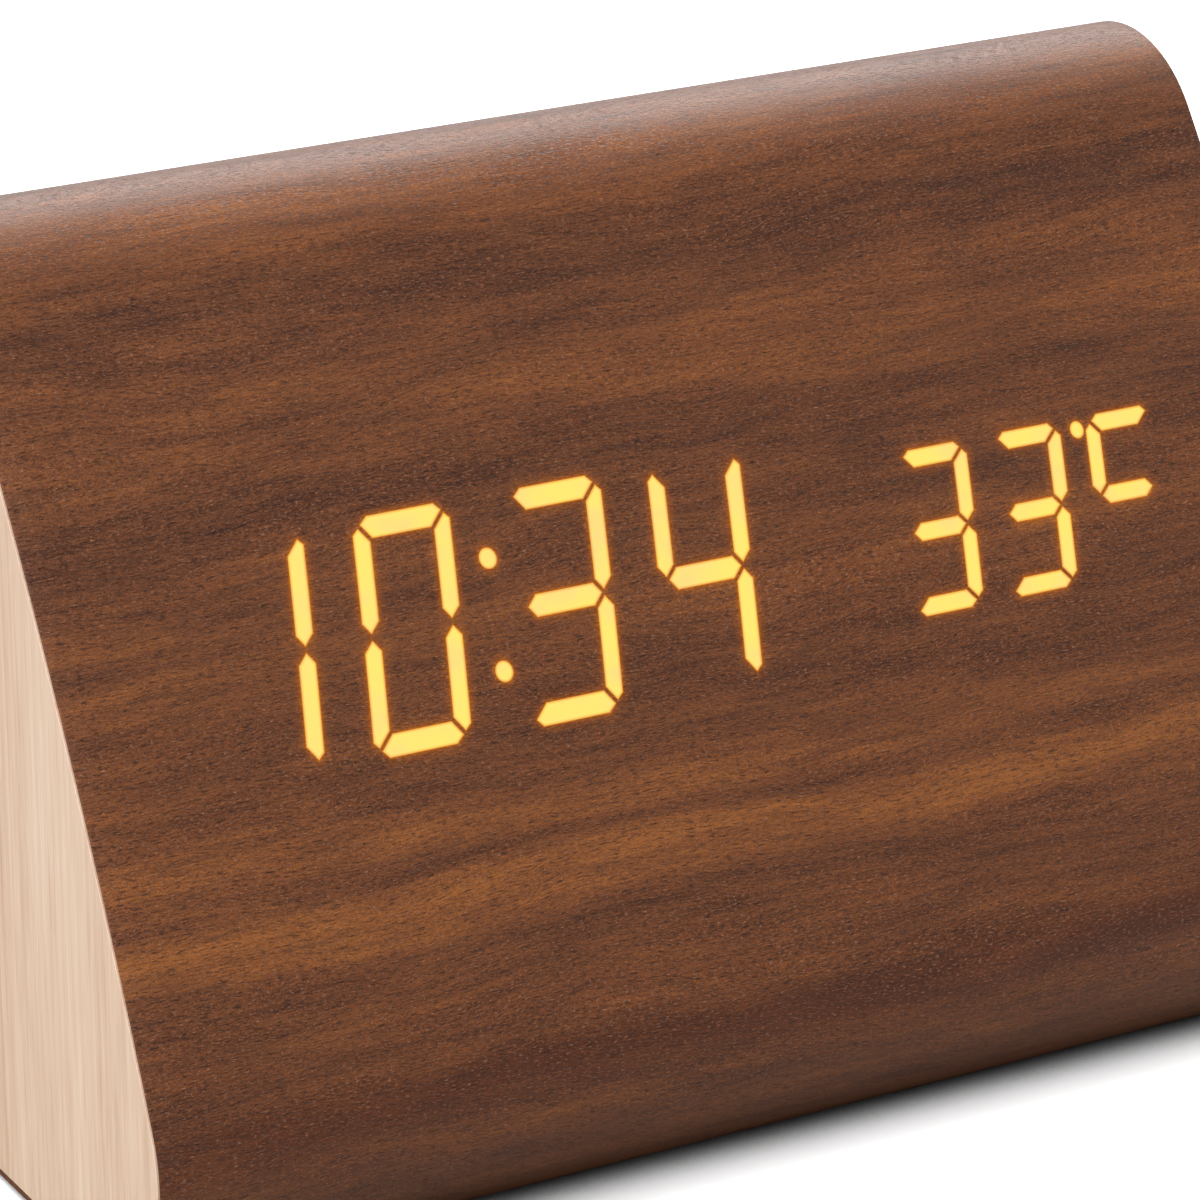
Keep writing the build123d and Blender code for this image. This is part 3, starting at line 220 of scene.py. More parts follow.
def walnut():
    """Walnut veneer on the unrolled coordinates that the skin carries, in millimetres."""
    g = Graph("walnut_veneer")
    rolled = g.node("ShaderNodeUVMap", uv_map="grain").outputs[0]
    flat = g.node("ShaderNodeMapping", {"Vector": rolled, "Scale": (1000, 1000, 1000)}).outputs[0]
    along, across, _ = g.node("ShaderNodeSeparateXYZ", {0: flat}).outputs
    wander = g.math("MULTIPLY", g.math("SUBTRACT", g.noise(flat, 1, (0.02, 0.06, 1), 3), 0.5), 6)
    level = g.math("ADD", across, wander)
    right = g.remap(along, -45, 45)
    tone = BASE_TONE
    for middle, half, left_shift, right_shift, slope in BANDS:
        away = g.math("SUBTRACT", level, g.math("MULTIPLY_ADD", along, slope, middle))
        near = g.math("DIVIDE", away, half)
        bell = g.math("EXPONENT", g.math("MULTIPLY", g.math("MULTIPLY", near, near), -0.7))
        tone = g.math("MULTIPLY_ADD", bell, g.remap(right, 0, 1, left_shift, right_shift), tone)
    red_band = bell

    # Lines that follow the bands, long and thin
    stream = g.node("ShaderNodeCombineXYZ", {0: along, 1: level}).outputs[0]
    wide = g.noise(stream, 1, (0.05, 0.42, 1), 3, 0.6)
    thin = g.noise(stream, 1, (0.16, 1.6, 1), 4, 0.7, (3, 11, 0))
    vein = g.remap(g.noise(stream, 1, (0.13, 0.9, 1), 3, 0.65, (31, 5, 0)), 0.57, 0.72)
    tone = g.add_share(tone, wide, 0.85)
    tone = g.add_share(tone, thin, 0.85)

    # Short fibres: fine variation, pale flecks and dark pores
    fibre = g.noise(stream, 1, (1.9, 8, 1), 3, 0.7, (1, 2, 0))
    speck = g.noise(stream, 1, (6, 9, 1), 1, 0.5, (7, 7, 0))
    fleck_and_sparkle = g.remap(g.noise(stream, 1, (2.6, 8.8, 1), 2, 0.6, (9, 4, 0)), 0.55, 0.70)
    pore = g.remap(g.noise(stream, 1, (1.2, 7, 1), 2, 0.6, (5, 17, 0)), 0.55, 0.72)
    tone = g.add_share(tone, fibre, 1.25)
    tone = g.add_share(tone, speck, 0.9)
    hue = g.ramp(tone, (
        (0.0, colour(54, 28, 18)), (0.25, colour(80, 44, 26)), (0.5, colour(105, 60, 34)),
        (0.75, colour(124, 72, 37)), (1.0, colour(150, 90, 43))))
    hue = g.stain(hue, red_band, 0.45, colour(84, 38, 14))
    hue = g.stain(hue, vein, 0.45, colour(60, 40, 28))
    # The pale flecks are partly lighter fibres of the wood and partly a painted sparkle of sheen
    # on them.
    hue = g.stain(hue, fleck_and_sparkle, 0.58, colour(178, 124, 94))
    hue = g.stain(hue, pore, 0.78, colour(44, 21, 9))

    # Light that leaks round the lit segments, strong and less blue near them
    leak = g.node("ShaderNodeAttribute", attribute_name="glow").outputs["Fac"]
    shade = g.math("MULTIPLY", leak, g.remap(fibre, 0.3, 0.7, 0.8, 1.2))
    # Painted glow: the base colour is turned yellow near the lit bars, as if lit by their leaked
    # light.
    warm = g.math("MULTIPLY", leak, 4.2, clamp=True)
    hue = g.mix(warm, hue, (1, 1, 0.15, 1), "MULTIPLY")

    relief = g.math("ADD", g.math("MULTIPLY", fibre, 0.6), g.math("SUBTRACT", fleck_and_sparkle, pore))
    g.set(Base_Color=hue, Roughness=g.remap(fibre, 0.25, 0.75, 0.32, 0.46),
          Normal=g.bump(relief, 0.08 * MM, 0.8), Emission_Color=colour(255, 128, 12),
          Emission_Strength=shade, Specular_IOR_Level=0.20, Coat_Weight=0.06, Coat_Roughness=0.3)
    return g.material


def glow():
    """Lit veneer: yellow in the middle of a segment, orange at its rim."""
    g = Graph("lit_veneer")
    depth = g.node("ShaderNodeAttribute", attribute_name="depth").outputs["Fac"]
    uneven = g.noise(g.place(), 260, (1, 1, 1.6), 2)
    core = g.ramp(uneven, ((0.38, colour(255, 233, 115)), (0.52, colour(253, 229, 122)),
                           (0.66, colour(252, 222, 130))))
    hue = g.mix(g.ramp(depth, ((0.0, 0.0), (0.3, 0.45), (1.0, 1.0))), colour(232, 132, 14), core)
    g.set(Base_Color=colour(40, 24, 8), Emission_Color=hue, Emission_Strength=1.0,
          Roughness=0.6, Specular_IOR_Level=0.1)
    return g.material


def pale_wood():
    """Pale end panel: straight fine grain up and down, faint lighter streaks."""
    g = Graph("pale_wood")
    place = g.place()
    broad = g.noise(place, 1000, (1, 0.22, 0.012), 2, 0.5)
    fine = g.noise(place, 1000, (1, 1.5, 0.05), 3, 0.6, (0, 3, 1))
    fibre = g.noise(place, 1000, (1, 4.5, 0.18), 2, 0.6, (0, 8, 2))
    tone = g.math("ADD", g.math("MULTIPLY", broad, 0.35), g.math("MULTIPLY", fine, 0.4))
    tone = g.math("ADD", tone, g.math("MULTIPLY", fibre, 0.25))
    hue = g.ramp(tone, ((0.34, colour(204, 167, 141)), (0.48, colour(223, 192, 166)),
                        (0.62, colour(235, 209, 185))))
    g.set(Base_Color=hue, Roughness=0.62, Normal=g.bump(fibre, 0.02 * MM, 0.4))
    return g.material


# Moulded finishes by material slot: colour, roughness, how deep the grain is, cells to a metre
MOULDED = {
    "black_plastic": ((17, 17, 18), 0.55, 0.35, 2500),
    "black_rubber": ((22, 22, 22), 0.75, 0.5, 1500),
    "white_film": ((226, 226, 222), 0.4, 0.05, 2500),
    "black_film": ((16, 16, 16), 0.6, 0.05, 2500),
    "white_plastic": ((226, 226, 222), 0.45, 0.1, 2500),
    "led_white": ((240, 232, 190), 0.25, 0.05, 2500),
    "chip_black": ((22, 22, 23), 0.42, 0.2, 4000),
    "resistor_black": ((28, 28, 30), 0.25, 0.05, 2500),
    "grey_ribbon": ((160, 160, 158), 0.45, 0.1, 2500),
    "red_lead": ((150, 26, 20), 0.4, 0.1, 2500),
    "grey_plastic": ((70, 70, 72), 0.45, 0.2, 2500)}


def moulded(name, base, roughness, grain, cells):
    """Moulded plastic or rubber with a fine spark-eroded texture."""
    g = Graph(name)
    place = g.place()
    spark = g.noise(place, cells, detail=2)
    cloud = g.noise(place, 60, detail=2)
    lighter = tuple(min(1, part * 1.35 + 0.004) for part in base[:3]) + (1,)
    hue = g.mix(g.remap(cloud, 0.3, 0.7), base, lighter)
    g.set(Base_Color=hue, Roughness=g.remap(spark, 0.3, 0.7, roughness - 0.06, roughness + 0.08),
          Normal=g.bump(spark, 0.03 * MM, grain))
    return g.material


def plated_steel():
    """Plated steel with a faint drawn grain and dulled patches."""
    g = Graph("plated_steel")
    place = g.place()
    base = colour(128, 126, 122)
    drawn = g.noise(place, 900, (1, 0.1, 1), 2)
    dull = g.noise(place, 180, detail=3)
    hue = g.mix(g.remap(dull, 0.35, 0.75), base, tuple(part * 0.8 for part in base[:3]) + (1,))
    g.set(Base_Color=hue, Metallic=1.0, Roughness=g.remap(drawn, 0.3, 0.7, 0.35, 0.52),
          Normal=g.bump(drawn, 0.01 * MM, 0.3))
    return g.material


def fibreboard():
    """Bare fibreboard: matted fibres on a warm brown."""
    g = Graph("fibreboard")
    mat = g.noise(g.place(), 900, detail=4, rough=0.7)
    hue = g.ramp(mat, ((0.3, colour(116, 88, 62)), (0.55, colour(150, 118, 86)),
                       (0.75, colour(178, 146, 110))))
    g.set(Base_Color=hue, Roughness=0.85, Normal=g.bump(mat, 0.08 * MM, 0.6))
    return g.material


def circuit_board():
    """Solder mask over faint straight tracks."""
    g = Graph("circuit_board")
    place = g.place()
    tracks = g.node("ShaderNodeTexBrick", {
        "Vector": place, "Scale": 260.0, "Mortar Size": 0.05, "Mortar Smooth": 0.2,
        "Color1": colour(14, 74, 44), "Color2": colour(10, 62, 38),
        "Mortar": colour(34, 108, 66)}).outputs[0]
    g.set(Base_Color=tracks, Roughness=g.remap(g.noise(place, 500), 0.3, 0.7, 0.28, 0.4))
    return g.material


def cell_sleeve(name, low, high, nub_at_high):
    """Printed sleeve of a cell: plain green-grey body, two pale rings, steel ends."""
    g = Graph(name)
    place = g.place()
    along, _, _ = g.node("ShaderNodeSeparateXYZ", {0: place}).outputs
    share = g.remap(along, low.x, high.x) if nub_at_high else g.remap(along, high.x, low.x)
    scuff = g.noise(place, 400, (1, 1, 1), 3)
    steel, sleeve, ring = colour(176, 176, 172), colour(62, 84, 80), colour(206, 208, 200)
    hue = g.ramp(share, ((0.0, steel), (0.012, sleeve), (0.80, ring), (0.825, sleeve),
                         (0.85, ring), (0.93, sleeve), (0.955, steel)), "CONSTANT")
    hue = g.mix(g.remap(scuff, 0.55, 0.8, 0, 0.2), hue, colour(120, 118, 114))
    g.set(Base_Color=hue, Roughness=g.remap(scuff, 0.3, 0.7, 0.22, 0.36),
          Metallic=g.ramp(share, ((0.0, 1.0), (0.012, 0.35), (0.955, 1.0)), "CONSTANT"))
    return g.material


def link(name, data):
    """A new object of the scene from its data."""
    made = bpy.data.objects.new(name, data)
    bpy.context.scene.collection.objects.link(made)
    return made


def paint(piece, material):
    piece.data.materials.clear()
    piece.data.materials.append(material)


def side_point(x, across, out, side):
    """Point on a sloped side: side is -1 for the reading side and 1 for the rear."""
    return Vector((x, side * ((SIDE + out) * cos(LEAN) - across * sin(LEAN)),
                   MIDDLE + (SIDE + out) * sin(LEAN) + across * cos(LEAN)))


def bow_level(across):
    """How far the bowed side stands out from the flat one, at a level across it."""
    return RISE - BOW + sqrt(BOW ** 2 - across ** 2)


def arc_level(across):
    """Length along the bowed side from its middle to a level across it."""
    return BOW * asin(across / BOW)


def read_off(table, place):
    """Value of a table of (place, value) rows, straight between them and zero past the last."""
    for (near, first), (far, second) in zip(table, table[1:]):
        if place <= far:
            return first + (second - first) * (place - near) / (far - near)
    return 0.0


def end_drop(x):
    return read_off(EASE, LENGTH / 2 - abs(x))


def spaced(low, high, step):
    """Even places from low to high, no more than step apart."""
    count = max(1, ceil((high - low) / step - 0.001))
    return [low + (high - low) * place / count for place in range(count + 1)]


def swept(start, end):
    """Directions of the points round a corner."""
    return [start + (end - start) * step / CORNER_STEPS for step in range(CORNER_STEPS + 1)]


eased = [LENGTH / 2 - gap for gap, _ in EASE]
STATIONS = [-x for x in eased] + spaced(-eased[-1], eased[-1], GRID)[1:-1] + eased[::-1]


class Skin:
    """Mesh that joins patches by place and keeps unrolled coordinates on its face corners."""

    def __init__(self):
        self.points = []
        self.found = {}
        self.values = []
        self.faces = []
        self.rolled = []

    def vertex(self, point, value):
        key = tuple(round(part / WELD) for part in point)
        if key not in self.found:
            self.found[key] = len(self.points)
            self.points.append(point)
            self.values.append(value)
        return self.found[key]

    def face(self, corners):
        """corners are (point, value, (along, across)); the face is turned outward."""
        points = [corner[0] for corner in corners]
        middle = sum(points, Vector()) / len(points)
        normal = sum(((near - middle).cross(far - middle)
                      for near, far in zip(points, points[1:] + points[:1])), Vector())
        outward = Vector((0, middle.y, middle.z - MIDDLE))
        if normal.dot(outward) < 0:
            corners = corners[::-1]
        indices = [self.vertex(point, value) for point, value, _ in corners]
        if len(set(indices)) == len(indices):
            self.faces.append(indices)
            self.rolled.extend(place for _, _, place in corners)

    def strip(self, profile):
        """Patch swept along X from (place in section, outward direction, unrolled level)."""
        for (a, da, sa), (b, db, sb) in zip(profile, profile[1:]):
            for x0, x1 in zip(STATIONS, STATIONS[1:]):
                corners = []
                for x, place, way, level in ((x0, a, da, sa), (x1, a, da, sa), (x1, b, db, sb),
                                             (x0, b, db, sb)):
                    flat = place - way * end_drop(x)
                    corners.append((Vector((x, flat[0], flat[1])), 0.0, (x, level)))
                self.face(corners)

    def sloped(self, side, holes, level_of, value_of=None, lines=()):
        """Patch over a sloped side with holes; extra lines refine it near the holes."""
        grid = [(x, row) for x in STATIONS for row in spaced(-REACH, REACH, ROW)]
        points = [Vector(point) for point in grid
                  if abs(point[0]) > LENGTH / 2 - GRID or abs(point[1]) > REACH - ROW / 2
                  or all(distance(point, hole) > CLEAR for hole in holes)]
        edges = []

        def draw(line, closed):
            first, count = len(points), len(line)
            points.extend(Vector(point) for point in line)
            edges.extend((first + step, first + (step + 1) % count)
                         for step in range(count if closed else count - 1))

        for line in lines:
            draw(line, False)
        for hole in holes:
            draw(hole, True)
        made, _, triangles, _, _, _ = delaunay_2d_cdt(points, edges, [], 0, CUT_LIMIT)
        values = [value_of(point) if value_of else 0.0 for point in made]
        for triangle in triangles:
            middle = sum((made[place] for place in triangle), Vector((0, 0))) / 3
            if any(inside(middle, hole) for hole in holes):
                continue
            corners = []
            for place in triangle:
                x, across = made[place]
                point = side_point(x, across, bow_level(across) - end_drop(x), side)
                corners.append((point, values[place], (x, level_of(across))))
            self.face(corners)

    def build(self, name, value_name):
        mesh = bpy.data.meshes.new(name)
        mesh.from_pydata(self.points, [], self.faces)
        layer = mesh.uv_layers.new(name="grain")
        for loop, place in zip(layer.data, self.rolled):
            loop.uv = place
        values = mesh.attributes.new(value_name, "FLOAT", "POINT")
        for item, value in zip(values.data, self.values):
            item.value = value
        mesh.shade_smooth()
        return link(name, mesh)


def inside(point, outline):
    """Whether a flat point lies inside a closed outline."""
    crossings = 0
    for (x0, y0), (x1, y1) in zip(outline, outline[1:] + outline[:1]):
        if (y0 > point[1]) != (y1 > point[1]):
            if point[0] < x0 + (point[1] - y0) * (x1 - x0) / (y1 - y0):
                crossings += 1
    return crossings % 2 == 1


def distance(point, outline):
    """Distance of a flat point from a closed outline, zero inside it."""
    if inside(point, outline):
        return 0.0
    gaps = []
    for (x0, y0), (x1, y1) in zip(outline, outline[1:] + outline[:1]):
        run, rise = x1 - x0, y1 - y0
        share = ((point[0] - x0) * run + (point[1] - y0) * rise) / (run * run + rise * rise)
        share = min(1.0, max(0.0, share))
        gaps.append(hypot(point[0] - x0 - share * run, point[1] - y0 - share * rise))
    return min(gaps)


def nearest(point, outlines):
    """Distance of a flat point from the nearest outline that begins within SEARCH of it."""
    return min((distance(point, outline) for outline in outlines
                if abs(outline[0][0] - point[0]) < SEARCH), default=SEARCH)


# Seven-segment figures, fitted to the photograph: half width, half height, bar height, bar width
# and gap. They differ from the CAD's by up to 0.25 mm.
TIME_SIZE = tuple(part * MM for part in (3.1, 7.5, 1.6, 1.3, 0.28))
SMALL_SIZE = tuple(part * MM for part in (2.35, 5.33, 1.32, 1.2, 0.25))
# Levels and centres are millimetres from the middle of the reading side
TIME_LEVEL = 1.0
SMALL_LEVEL = 0.65
TIME_CENTRES = (-34.65, -23.45, -11.55, -0.35)
SMALL_CENTRES = (19.05, 27.12, 35.19)
TIME_MIDDLE = -17.5
TIME_TILT = -0.007
FIGURES = ([(x * MM, (TIME_LEVEL + TIME_TILT * (x - TIME_MIDDLE)) * MM, TIME_SIZE, figure)
            for x, figure in zip(TIME_CENTRES, "1034")]
           + [(x * MM, SMALL_LEVEL * MM, SMALL_SIZE, figure)
              for x, figure in zip(SMALL_CENTRES, "33C")])
LIT_BARS = {"0": "abcdef", "1": "bc", "3": "abcdg", "4": "bcfg", "C": "afg"}
MITRE_SHARE = 0.66
SLANT = tan(radians(9))
# Colon and degree dot: centre, level and how far up or down from it the dots are, in millimetres
COLON_SLANT = 0.114
COLON = (-17.0, 0.9, 3.95)
DEGREE = (31.505, SMALL_LEVEL, 5.1)
DOT_SIZES = ((1.36, 1.52), (1.36, 1.52), (1.15, 1.3))
DOT_SIDES = 28


def digit_bars(half_width, half_height, bar_height, bar_width, gap):
    """Outlines of the seven bars of one upright figure about its centre."""
    diagonal = hypot(bar_width, bar_height)
    shift_x = gap / 2 * diagonal / bar_height
    shift_y = gap / 2 * diagonal / bar_width
    edge_in_y = half_height - bar_height / 2
    edge_out_y = half_height + bar_height / 2
    edge_in_x = half_width - bar_width / 2
    edge_out_x = half_width + bar_width / 2
    rise = MITRE_SHARE * bar_height
    run = MITRE_SHARE * bar_width
    level_end = edge_in_x - shift_x
    level_tip = (level_end + run, edge_in_y + rise)
    level_bevel = level_tip[0] - (edge_out_y - level_tip[1])
    upright_end = edge_in_y - shift_y
    upright_tip = (edge_in_x + run, upright_end + rise)
    upright_bevel = upright_tip[1] - (edge_out_x - upright_tip[0])
    middle_tip = half_width - shift_x
    middle_end = middle_tip - bar_width / 2
    foot_end = shift_y + bar_height / 2
    top = [(level_end, edge_in_y), level_tip, (level_bevel, edge_out_y)]
    top = top + [(-x, y) for x, y in reversed(top)]
    right = [(edge_in_x, upright_end), upright_tip, (edge_out_x, upright_bevel),
             (edge_out_x, foot_end), (half_width, shift_y), (edge_in_x, foot_end)]
    middle = [(middle_end, -bar_height / 2), (middle_tip, 0), (middle_end, bar_height / 2)]
    middle = middle + [(-x, -y) for x, y in middle]
    return {"a": top, "b": right, "c": [(x, -y) for x, y in right],
            "d": [(x, -y) for x, y in top], "e": [(-x, -y) for x, y in right],
            "f": [(-x, y) for x, y in right], "g": middle}


def turned_left(outline):
    """The outline with its points running anticlockwise."""
    area = sum(x0 * y1 - x1 * y0 for (x0, y0), (x1, y1) in zip(outline, outline[1:] + outline[:1]))
    return outline if area > 0 else outline[::-1]


def lit_outlines():
    """Outlines of every lit bar and dot on the reading side."""
    outlines = []
    for centre, level, size, figure in FIGURES:
        bars = digit_bars(*size)
        for letter in LIT_BARS[figure]:
            outlines.append(turned_left([(centre + x + y * SLANT, level + y)
                                         for x, y in bars[letter]]))
    dots = [(COLON[0] - COLON[2] * COLON_SLANT, COLON[1] - COLON[2]),
            (COLON[0] + COLON[2] * COLON_SLANT, COLON[1] + COLON[2]),
            (DEGREE[0] + DEGREE[2] * SLANT, DEGREE[1] + DEGREE[2])]
    for (x, y), (width, height) in zip(dots, DOT_SIZES):
        outlines.append([((x + width / 2 * cos(2 * pi * side / DOT_SIDES)) * MM,
                          (y + height / 2 * sin(2 * pi * side / DOT_SIDES)) * MM)
                         for side in range(DOT_SIDES)])
    return outlines


def divided(start, end, count):
    """Places from one flat point up to another, in count steps, without the last."""
    return [(start[0] + (end[0] - start[0]) * place / count,
             start[1] + (end[1] - start[1]) * place / count) for place in range(count)]


def walked(outline, step):
    """The outline with points added so that no two are further apart than step."""
    points = []
    for start, end in zip(outline, outline[1:] + outline[:1]):
        count = max(1, ceil(hypot(end[0] - start[0], end[1] - start[1]) / step))
        points.extend(divided(start, end, count))
    return points


def grown(outline, amount):
    """A convex anticlockwise outline moved outward by amount, or inward if it is negative."""
    points = []
    for place, (x, y) in enumerate(outline):
        before = outline[place - 1]
        after = outline[(place + 1) % len(outline)]
        first = Vector((y - before[1], before[0] - x)).normalized()
        second = Vector((after[1] - y, x - after[0])).normalized()
        way = (first + second) / (1 + first.dot(second))
        points.append((x + way.x * amount, y + way.y * amount))
    return points


# Halo round a lit bar: distance in millimetres and how strong the leaked light is there. Rings of
# points are set at these distances too.
HALO = ((0.0, 0.45), (0.06, 0.20), (0.14, 0.12), (0.30, 0.062), (0.48, 0.028), (0.72, 0.007),
        (1.0, 0.0))
# A ring's point is left out where another bar is nearer than this share of the ring's distance
RING_SHARE = 0.8


def halo_rings(outlines):
    """Lines round the lit bars at the halo's distances, broken where they near another bar."""
    lines = []
    for outline in outlines:
        for gap, _ in HALO[1:]:
            ring = walked(grown(outline, gap * MM), STEP)
            line = []
            for point in ring + ring[:1]:
                if nearest(point, outlines) > gap * MM * RING_SHARE:
                    line.append(point)
                else:
                    lines.append(line)
                    line = []
            lines.append(line)
    return lines


def corner_profile(centre, start, end, level, way):
    """Section points round a corner, with the unrolled level rising or falling by way."""
    profile = []
    for angle in swept(start, end):
        out = Vector((cos(angle), sin(angle)))
        profile.append((Vector(centre) + out * CORNER, out,
                        level + way * CORNER * abs(angle - start)))
    return profile


def rounded_hole(half_length, half_height, corner):
    """Rounded rectangle, anticlockwise."""
    points = []
    for turn, (sx, sy) in enumerate(((1, 1), (-1, 1), (-1, -1), (1, -1))):
        for step in range(HOLE_STEPS + 1):
            angle = pi / 2 * (turn + step / HOLE_STEPS)
            points.append((sx * (half_length - corner) + corner * cos(angle),
                           sy * (half_height - corner) + corner * sin(angle)))
    return points


def thicken(piece):
    """Give an outer surface the skin's thickness, inward."""
    solid = piece.modifiers.new("thickness", "SOLIDIFY")
    solid.thickness = SKIN
    solid.offset = -1
    solid.use_even_offset = True


def walnut_skin(outlines):
    """The veneer skin, unbroken round the case but for the lit bars and the rear opening."""
    def halo(point):
        if abs(point[1] - TIME_LEVEL * MM) > SEARCH:
            return 0.0
        return read_off(HALO, nearest(point, outlines) / MM)

    # Unrolled levels run up the reading side, over the top corner and down the rear
    top_arc = CORNER * (2 * pi / 3 - 2 * BOW_HALF)
    foot_arc = CORNER * (2 * pi / 3 - BOW_HALF)
    rear_level = 2 * ARC_REACH + top_arc
    front_end = -ARC_REACH - foot_arc
    rear_end = rear_level + ARC_REACH + foot_arc

    skin = Skin()
    skin.sloped(-1, [walked(outline, STEP) for outline in outlines], arc_level, halo,
                halo_rings(outlines))
    skin.strip(corner_profile(*TOP, ARC_REACH, 1))
    opening = walked(rounded_hole(OPENING_LENGTH / 2, OPENING_HEIGHT / 2, OPENING_CORNER), ROW)
    skin.sloped(1, [opening], lambda across: rear_level - arc_level(across))
    skin.strip(corner_profile(*REAR_FOOT, rear_level + ARC_REACH, 1))
    centre, below, level = FRONT_FOOT
    skin.strip(corner_profile(centre, level, below, -ARC_REACH, -1))
    down = Vector((0, -1))
    rows = spaced(0, PITCH / 2, ROW)
    skin.strip([(Vector((-PITCH / 2 + row, PAD)), down, front_end - row) for row in rows])
    skin.strip([(Vector((PITCH / 2 - row, PAD)), down, rear_end + row) for row in rows])
    piece = skin.build("walnut_skin_veneer", "glow")
    thicken(piece)
    return piece


# Rings of a lit bar from its rim inward, as distance in millimetres and share of full light
RINGS = ((0.0, 0.0), (0.05, 0.3), (0.11, 0.62), (0.2, 1.0))


def lit_bars(outlines):
    """The lit places of the skin, each a small plate that is brightest in its middle."""
    plates = Skin()
    for outline in outlines:
        counts = [max(1, ceil((Vector(b) - Vector(a)).length / STEP))
                  for a, b in zip(outline, outline[1:] + outline[:1])]
        rings = []
        for inset, share in RINGS:
            ring = grown(outline, -inset * MM)
            places = [place for start, end, count in zip(ring, ring[1:] + ring[:1], counts)
                      for place in divided(start, end, count)]
            rings.append([(side_point(x, y, bow_level(y), -1), share, (x, y))
                          for x, y in places])
        for outer, inner in zip(rings, rings[1:]):
            for place in range(len(outer)):
                after = (place + 1) % len(outer)
                plates.face([outer[place], outer[after], inner[after], inner[place]])
        plates.face(rings[-1])
    piece = plates.build("lit_segment_plates", "depth")
    thicken(piece)
    return piece


def section_outline(inset):
    """Closed outline of the section, drawn in by inset."""
    share = (BOW - inset) / BOW

    def bowed(side, rows):
        for row in rows:
            out = RISE - BOW + sqrt((BOW - inset) ** 2 - (row * share) ** 2)
            point = side_point(0, row * share, out, side)
            points.append(Vector((point.y, point.z)))

    def rounded(centre, start, end):
        points.extend(Vector(centre) + (CORNER - inset) * Vector((cos(angle), sin(angle)))
                      for angle in swept(start, end))

    points = []
    rows = spaced(-REACH, REACH, ROW)[1:-1]
    rounded(*FRONT_FOOT)
    bowed(-1, rows)
    rounded(*TOP)
    bowed(1, rows[::-1])
    rounded(*REAR_FOOT)
    return points


def end_panel(name, side):
    """Pale plate inside the end of the skin, with an eased rim."""
    rims = ((LENGTH / 2 - PANEL, SKIN), (LENGTH / 2 - PANEL_EASE, SKIN),
            (LENGTH / 2, SKIN + PANEL_EASE))
    rings = [[(side * x, point.x, point.y) for point in section_outline(inset)]
             for x, inset in rims]
    count = len(rings[0])
    last = (len(rings) - 1) * count
    faces = []
    for first in range(0, last, count):
        for place in range(count):
            after = (place + 1) % count
            faces.append([first + place, first + after, first + count + after,
                          first + count + place])
    faces.append([last + place for place in range(count)])
    faces.append(list(range(count))[::-1])
    mesh = bpy.data.meshes.new(name)
    mesh.from_pydata([point for ring in rings for point in ring], [],
                     [face if side > 0 else face[::-1] for face in faces])
    mesh.validate()
    return link(name, mesh)


def dress(piece, material, body, slot, *replaced):
    """Give a new piece its material and body, and hide the CAD nodes that it stands for. The slot
    is not used.
    """
    paint(piece, material)
    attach(piece, body)
    if replaced:
        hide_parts(*replaced)


def add_camera():
    data = bpy.data.cameras.new("camera")
    data.lens = LENS
    data.sensor_width = SENSOR
    camera = link("camera", data)
    camera.location = CAMERA_PLACE
    camera.rotation_euler = (pi / 2 - CAMERA_DIP, 0, -CAMERA_TURN)
    bpy.context.scene.camera = camera


def add_floor():
    """White floor with shade painted near the object for camera rays and mirrors, grey to other
    rays.
    """
    mesh = bpy.data.meshes.new("floor")
    mesh.from_pydata([(sx * FLOOR_HALF, sy * FLOOR_HALF, 0)
                      for sx, sy in ((-1, -1), (1, -1), (1, 1), (-1, 1))], [], [(0, 1, 2, 3)])
    floor = link("floor", mesh)
    g = Graph("floor_white")
    path = g.node("ShaderNodeLightPath").outputs
    clear = g.math("MAXIMUM", path["Is Glossy Ray"], path["Is Transmission Ray"])
    # Painted shade: an ambient occlusion ramp darkens the floor near the object, on top of its
    # real shadow.
    near = g.node("ShaderNodeAmbientOcclusion", {"Distance": FLOOR_SHADE_REACH},
                  samples=FLOOR_SAMPLES).outputs["AO"]
    painted_floor_shade = g.ramp(near, ((0.055, 0.01), (0.11, 0.27), (0.2, 0.65), (0.28, 0.85), (0.6, 0.95),
                         (1.0, 1.0)))
    painted_mirror_shade = g.ramp(near, ((0.26, 0.0), (0.62, 1.0)))
    tint = g.mix(clear, (0.14, 0.14, 0.14, 1),
                 g.mix(painted_mirror_shade, (0.01, 0.01, 0.01, 1), (0.8, 0.805, 0.81, 1)))
    tint = g.mix(path["Is Camera Ray"], tint,
                 g.mix(painted_floor_shade, (0.02, 0.018, 0.016, 1), (1.5, 1.505, 1.51, 1)))
    matt = g.node("ShaderNodeBsdfDiffuse", {"Color": tint})
    g.put(g.output.inputs["Surface"], matt.outputs[0])
    mesh.materials.append(g.material)


def add_lamp(name, place, aim, size, power):
    data = bpy.data.lights.new(name, "AREA")
    data.shape = "RECTANGLE"
    data.size, data.size_y = size
    data.energy = power
    lamp = link(name, data)
    lamp.location = place
    lamp.rotation_euler = (Vector(aim) - Vector(place)).to_track_quat("-Z", "Y").to_euler()


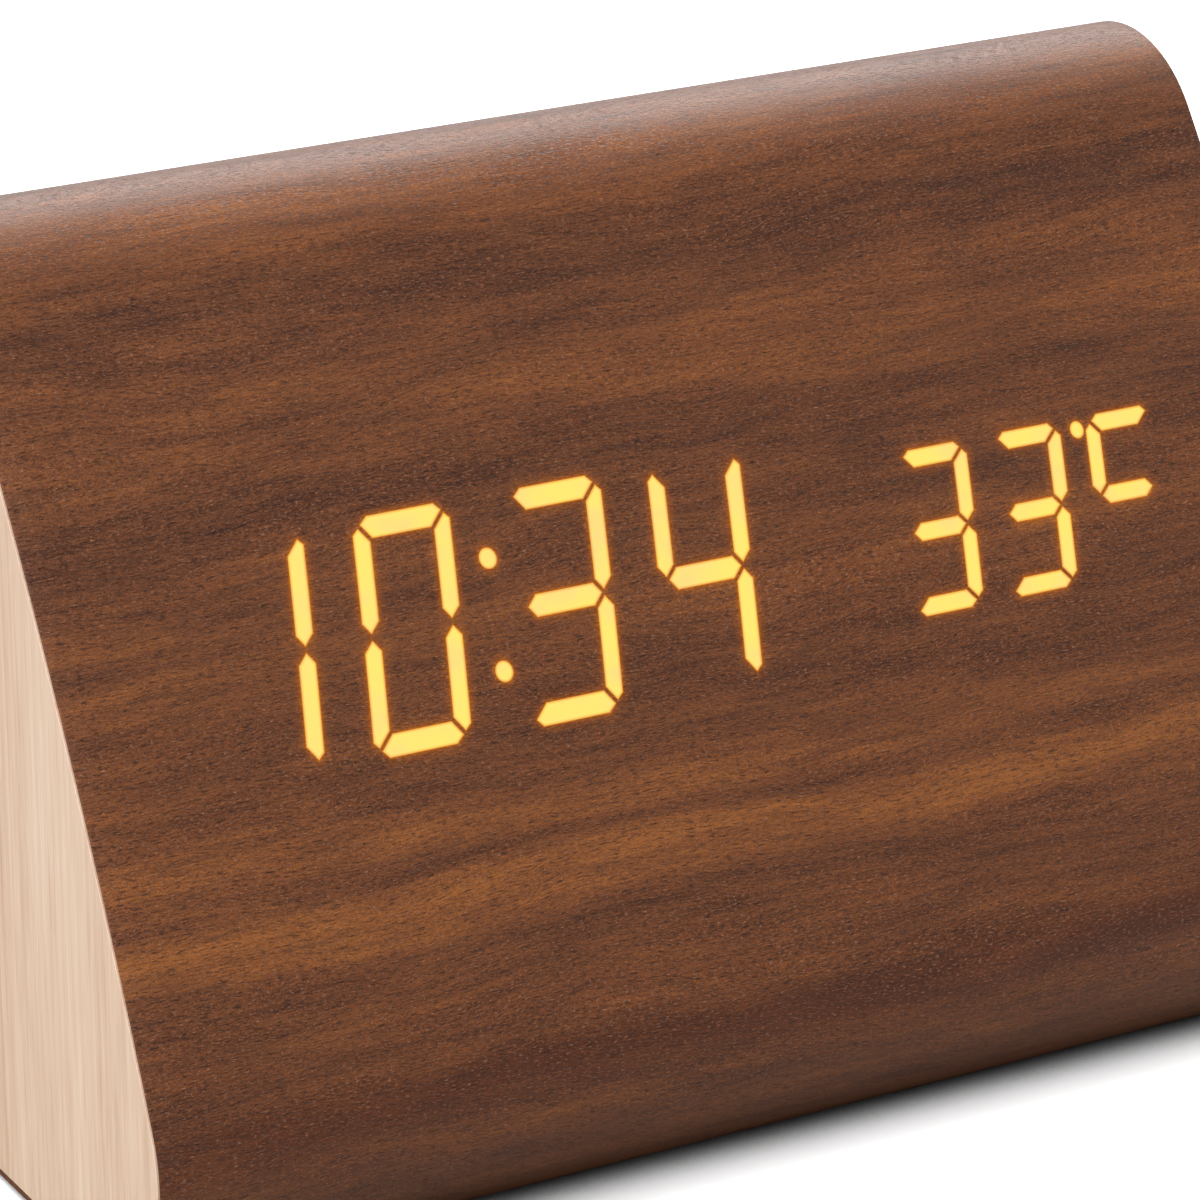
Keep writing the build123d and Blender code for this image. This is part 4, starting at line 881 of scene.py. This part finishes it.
def add_world():
    """Even light from all round, and a pale backdrop where the camera looks past the floor."""
    world = bpy.data.worlds.new("studio")
    bpy.context.scene.world = world
    world.use_nodes = True
    tree = world.node_tree
    plain = tree.nodes["Background"]
    plain.inputs["Color"].default_value = (1, 1, 1, 1)
    plain.inputs["Strength"].default_value = WORLD_STRENGTH
    seen = tree.nodes.new("ShaderNodeBackground")
    seen.inputs["Color"].default_value = BACKDROP
    path = tree.nodes.new("ShaderNodeLightPath")
    either = tree.nodes.new("ShaderNodeMath")
    either.operation = "MAXIMUM"
    tree.links.new(path.outputs["Is Camera Ray"], either.inputs[0])
    tree.links.new(path.outputs["Is Transmission Ray"], either.inputs[1])
    mix = tree.nodes.new("ShaderNodeMixShader")
    tree.links.new(either.outputs[0], mix.inputs[0])
    tree.links.new(plain.outputs[0], mix.inputs[1])
    tree.links.new(seen.outputs[0], mix.inputs[2])
    tree.links.new(mix.outputs[0], tree.nodes["World Output"].inputs["Surface"])


def main():
    outlines = lit_outlines()
    dress(walnut_skin(outlines), walnut(), "case", "walnut_veneer", "walnut_skin")
    dress(lit_bars(outlines), glow(), "case", "lit_veneer", "lit_segments")
    pale = pale_wood()
    for name, side in (("end_panel_left", -1), ("end_panel_right", 1)):
        dress(end_panel(name + "_plate", side), pale, "case", "pale_wood", name)

    finishes = {"fibreboard": fibreboard(), "circuit_board": circuit_board(),
                "plated_steel": plated_steel()}
    for slot, (base, roughness, grain, cells) in MOULDED.items():
        finishes[slot] = moulded(slot, colour(*base), roughness, grain, cells)
    for part in frame["record"]["subparts"]:
        node, slot = part["node"], part["material_slot"]
        if slot in finishes:
            paint(nodes[node], finishes[slot])
    # The middle cell of the three is the other way round
    for number in (1, 2, 3):
        node = f"battery_cell_{number}"
        low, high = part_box(node)
        paint(nodes[node], cell_sleeve(node, low, high, number == 2))

    add_camera()
    add_floor()
    add_world()
    for lamp in LAMPS:
        add_lamp(*lamp)
    bpy.context.scene.view_settings.view_transform = "Standard"


main()
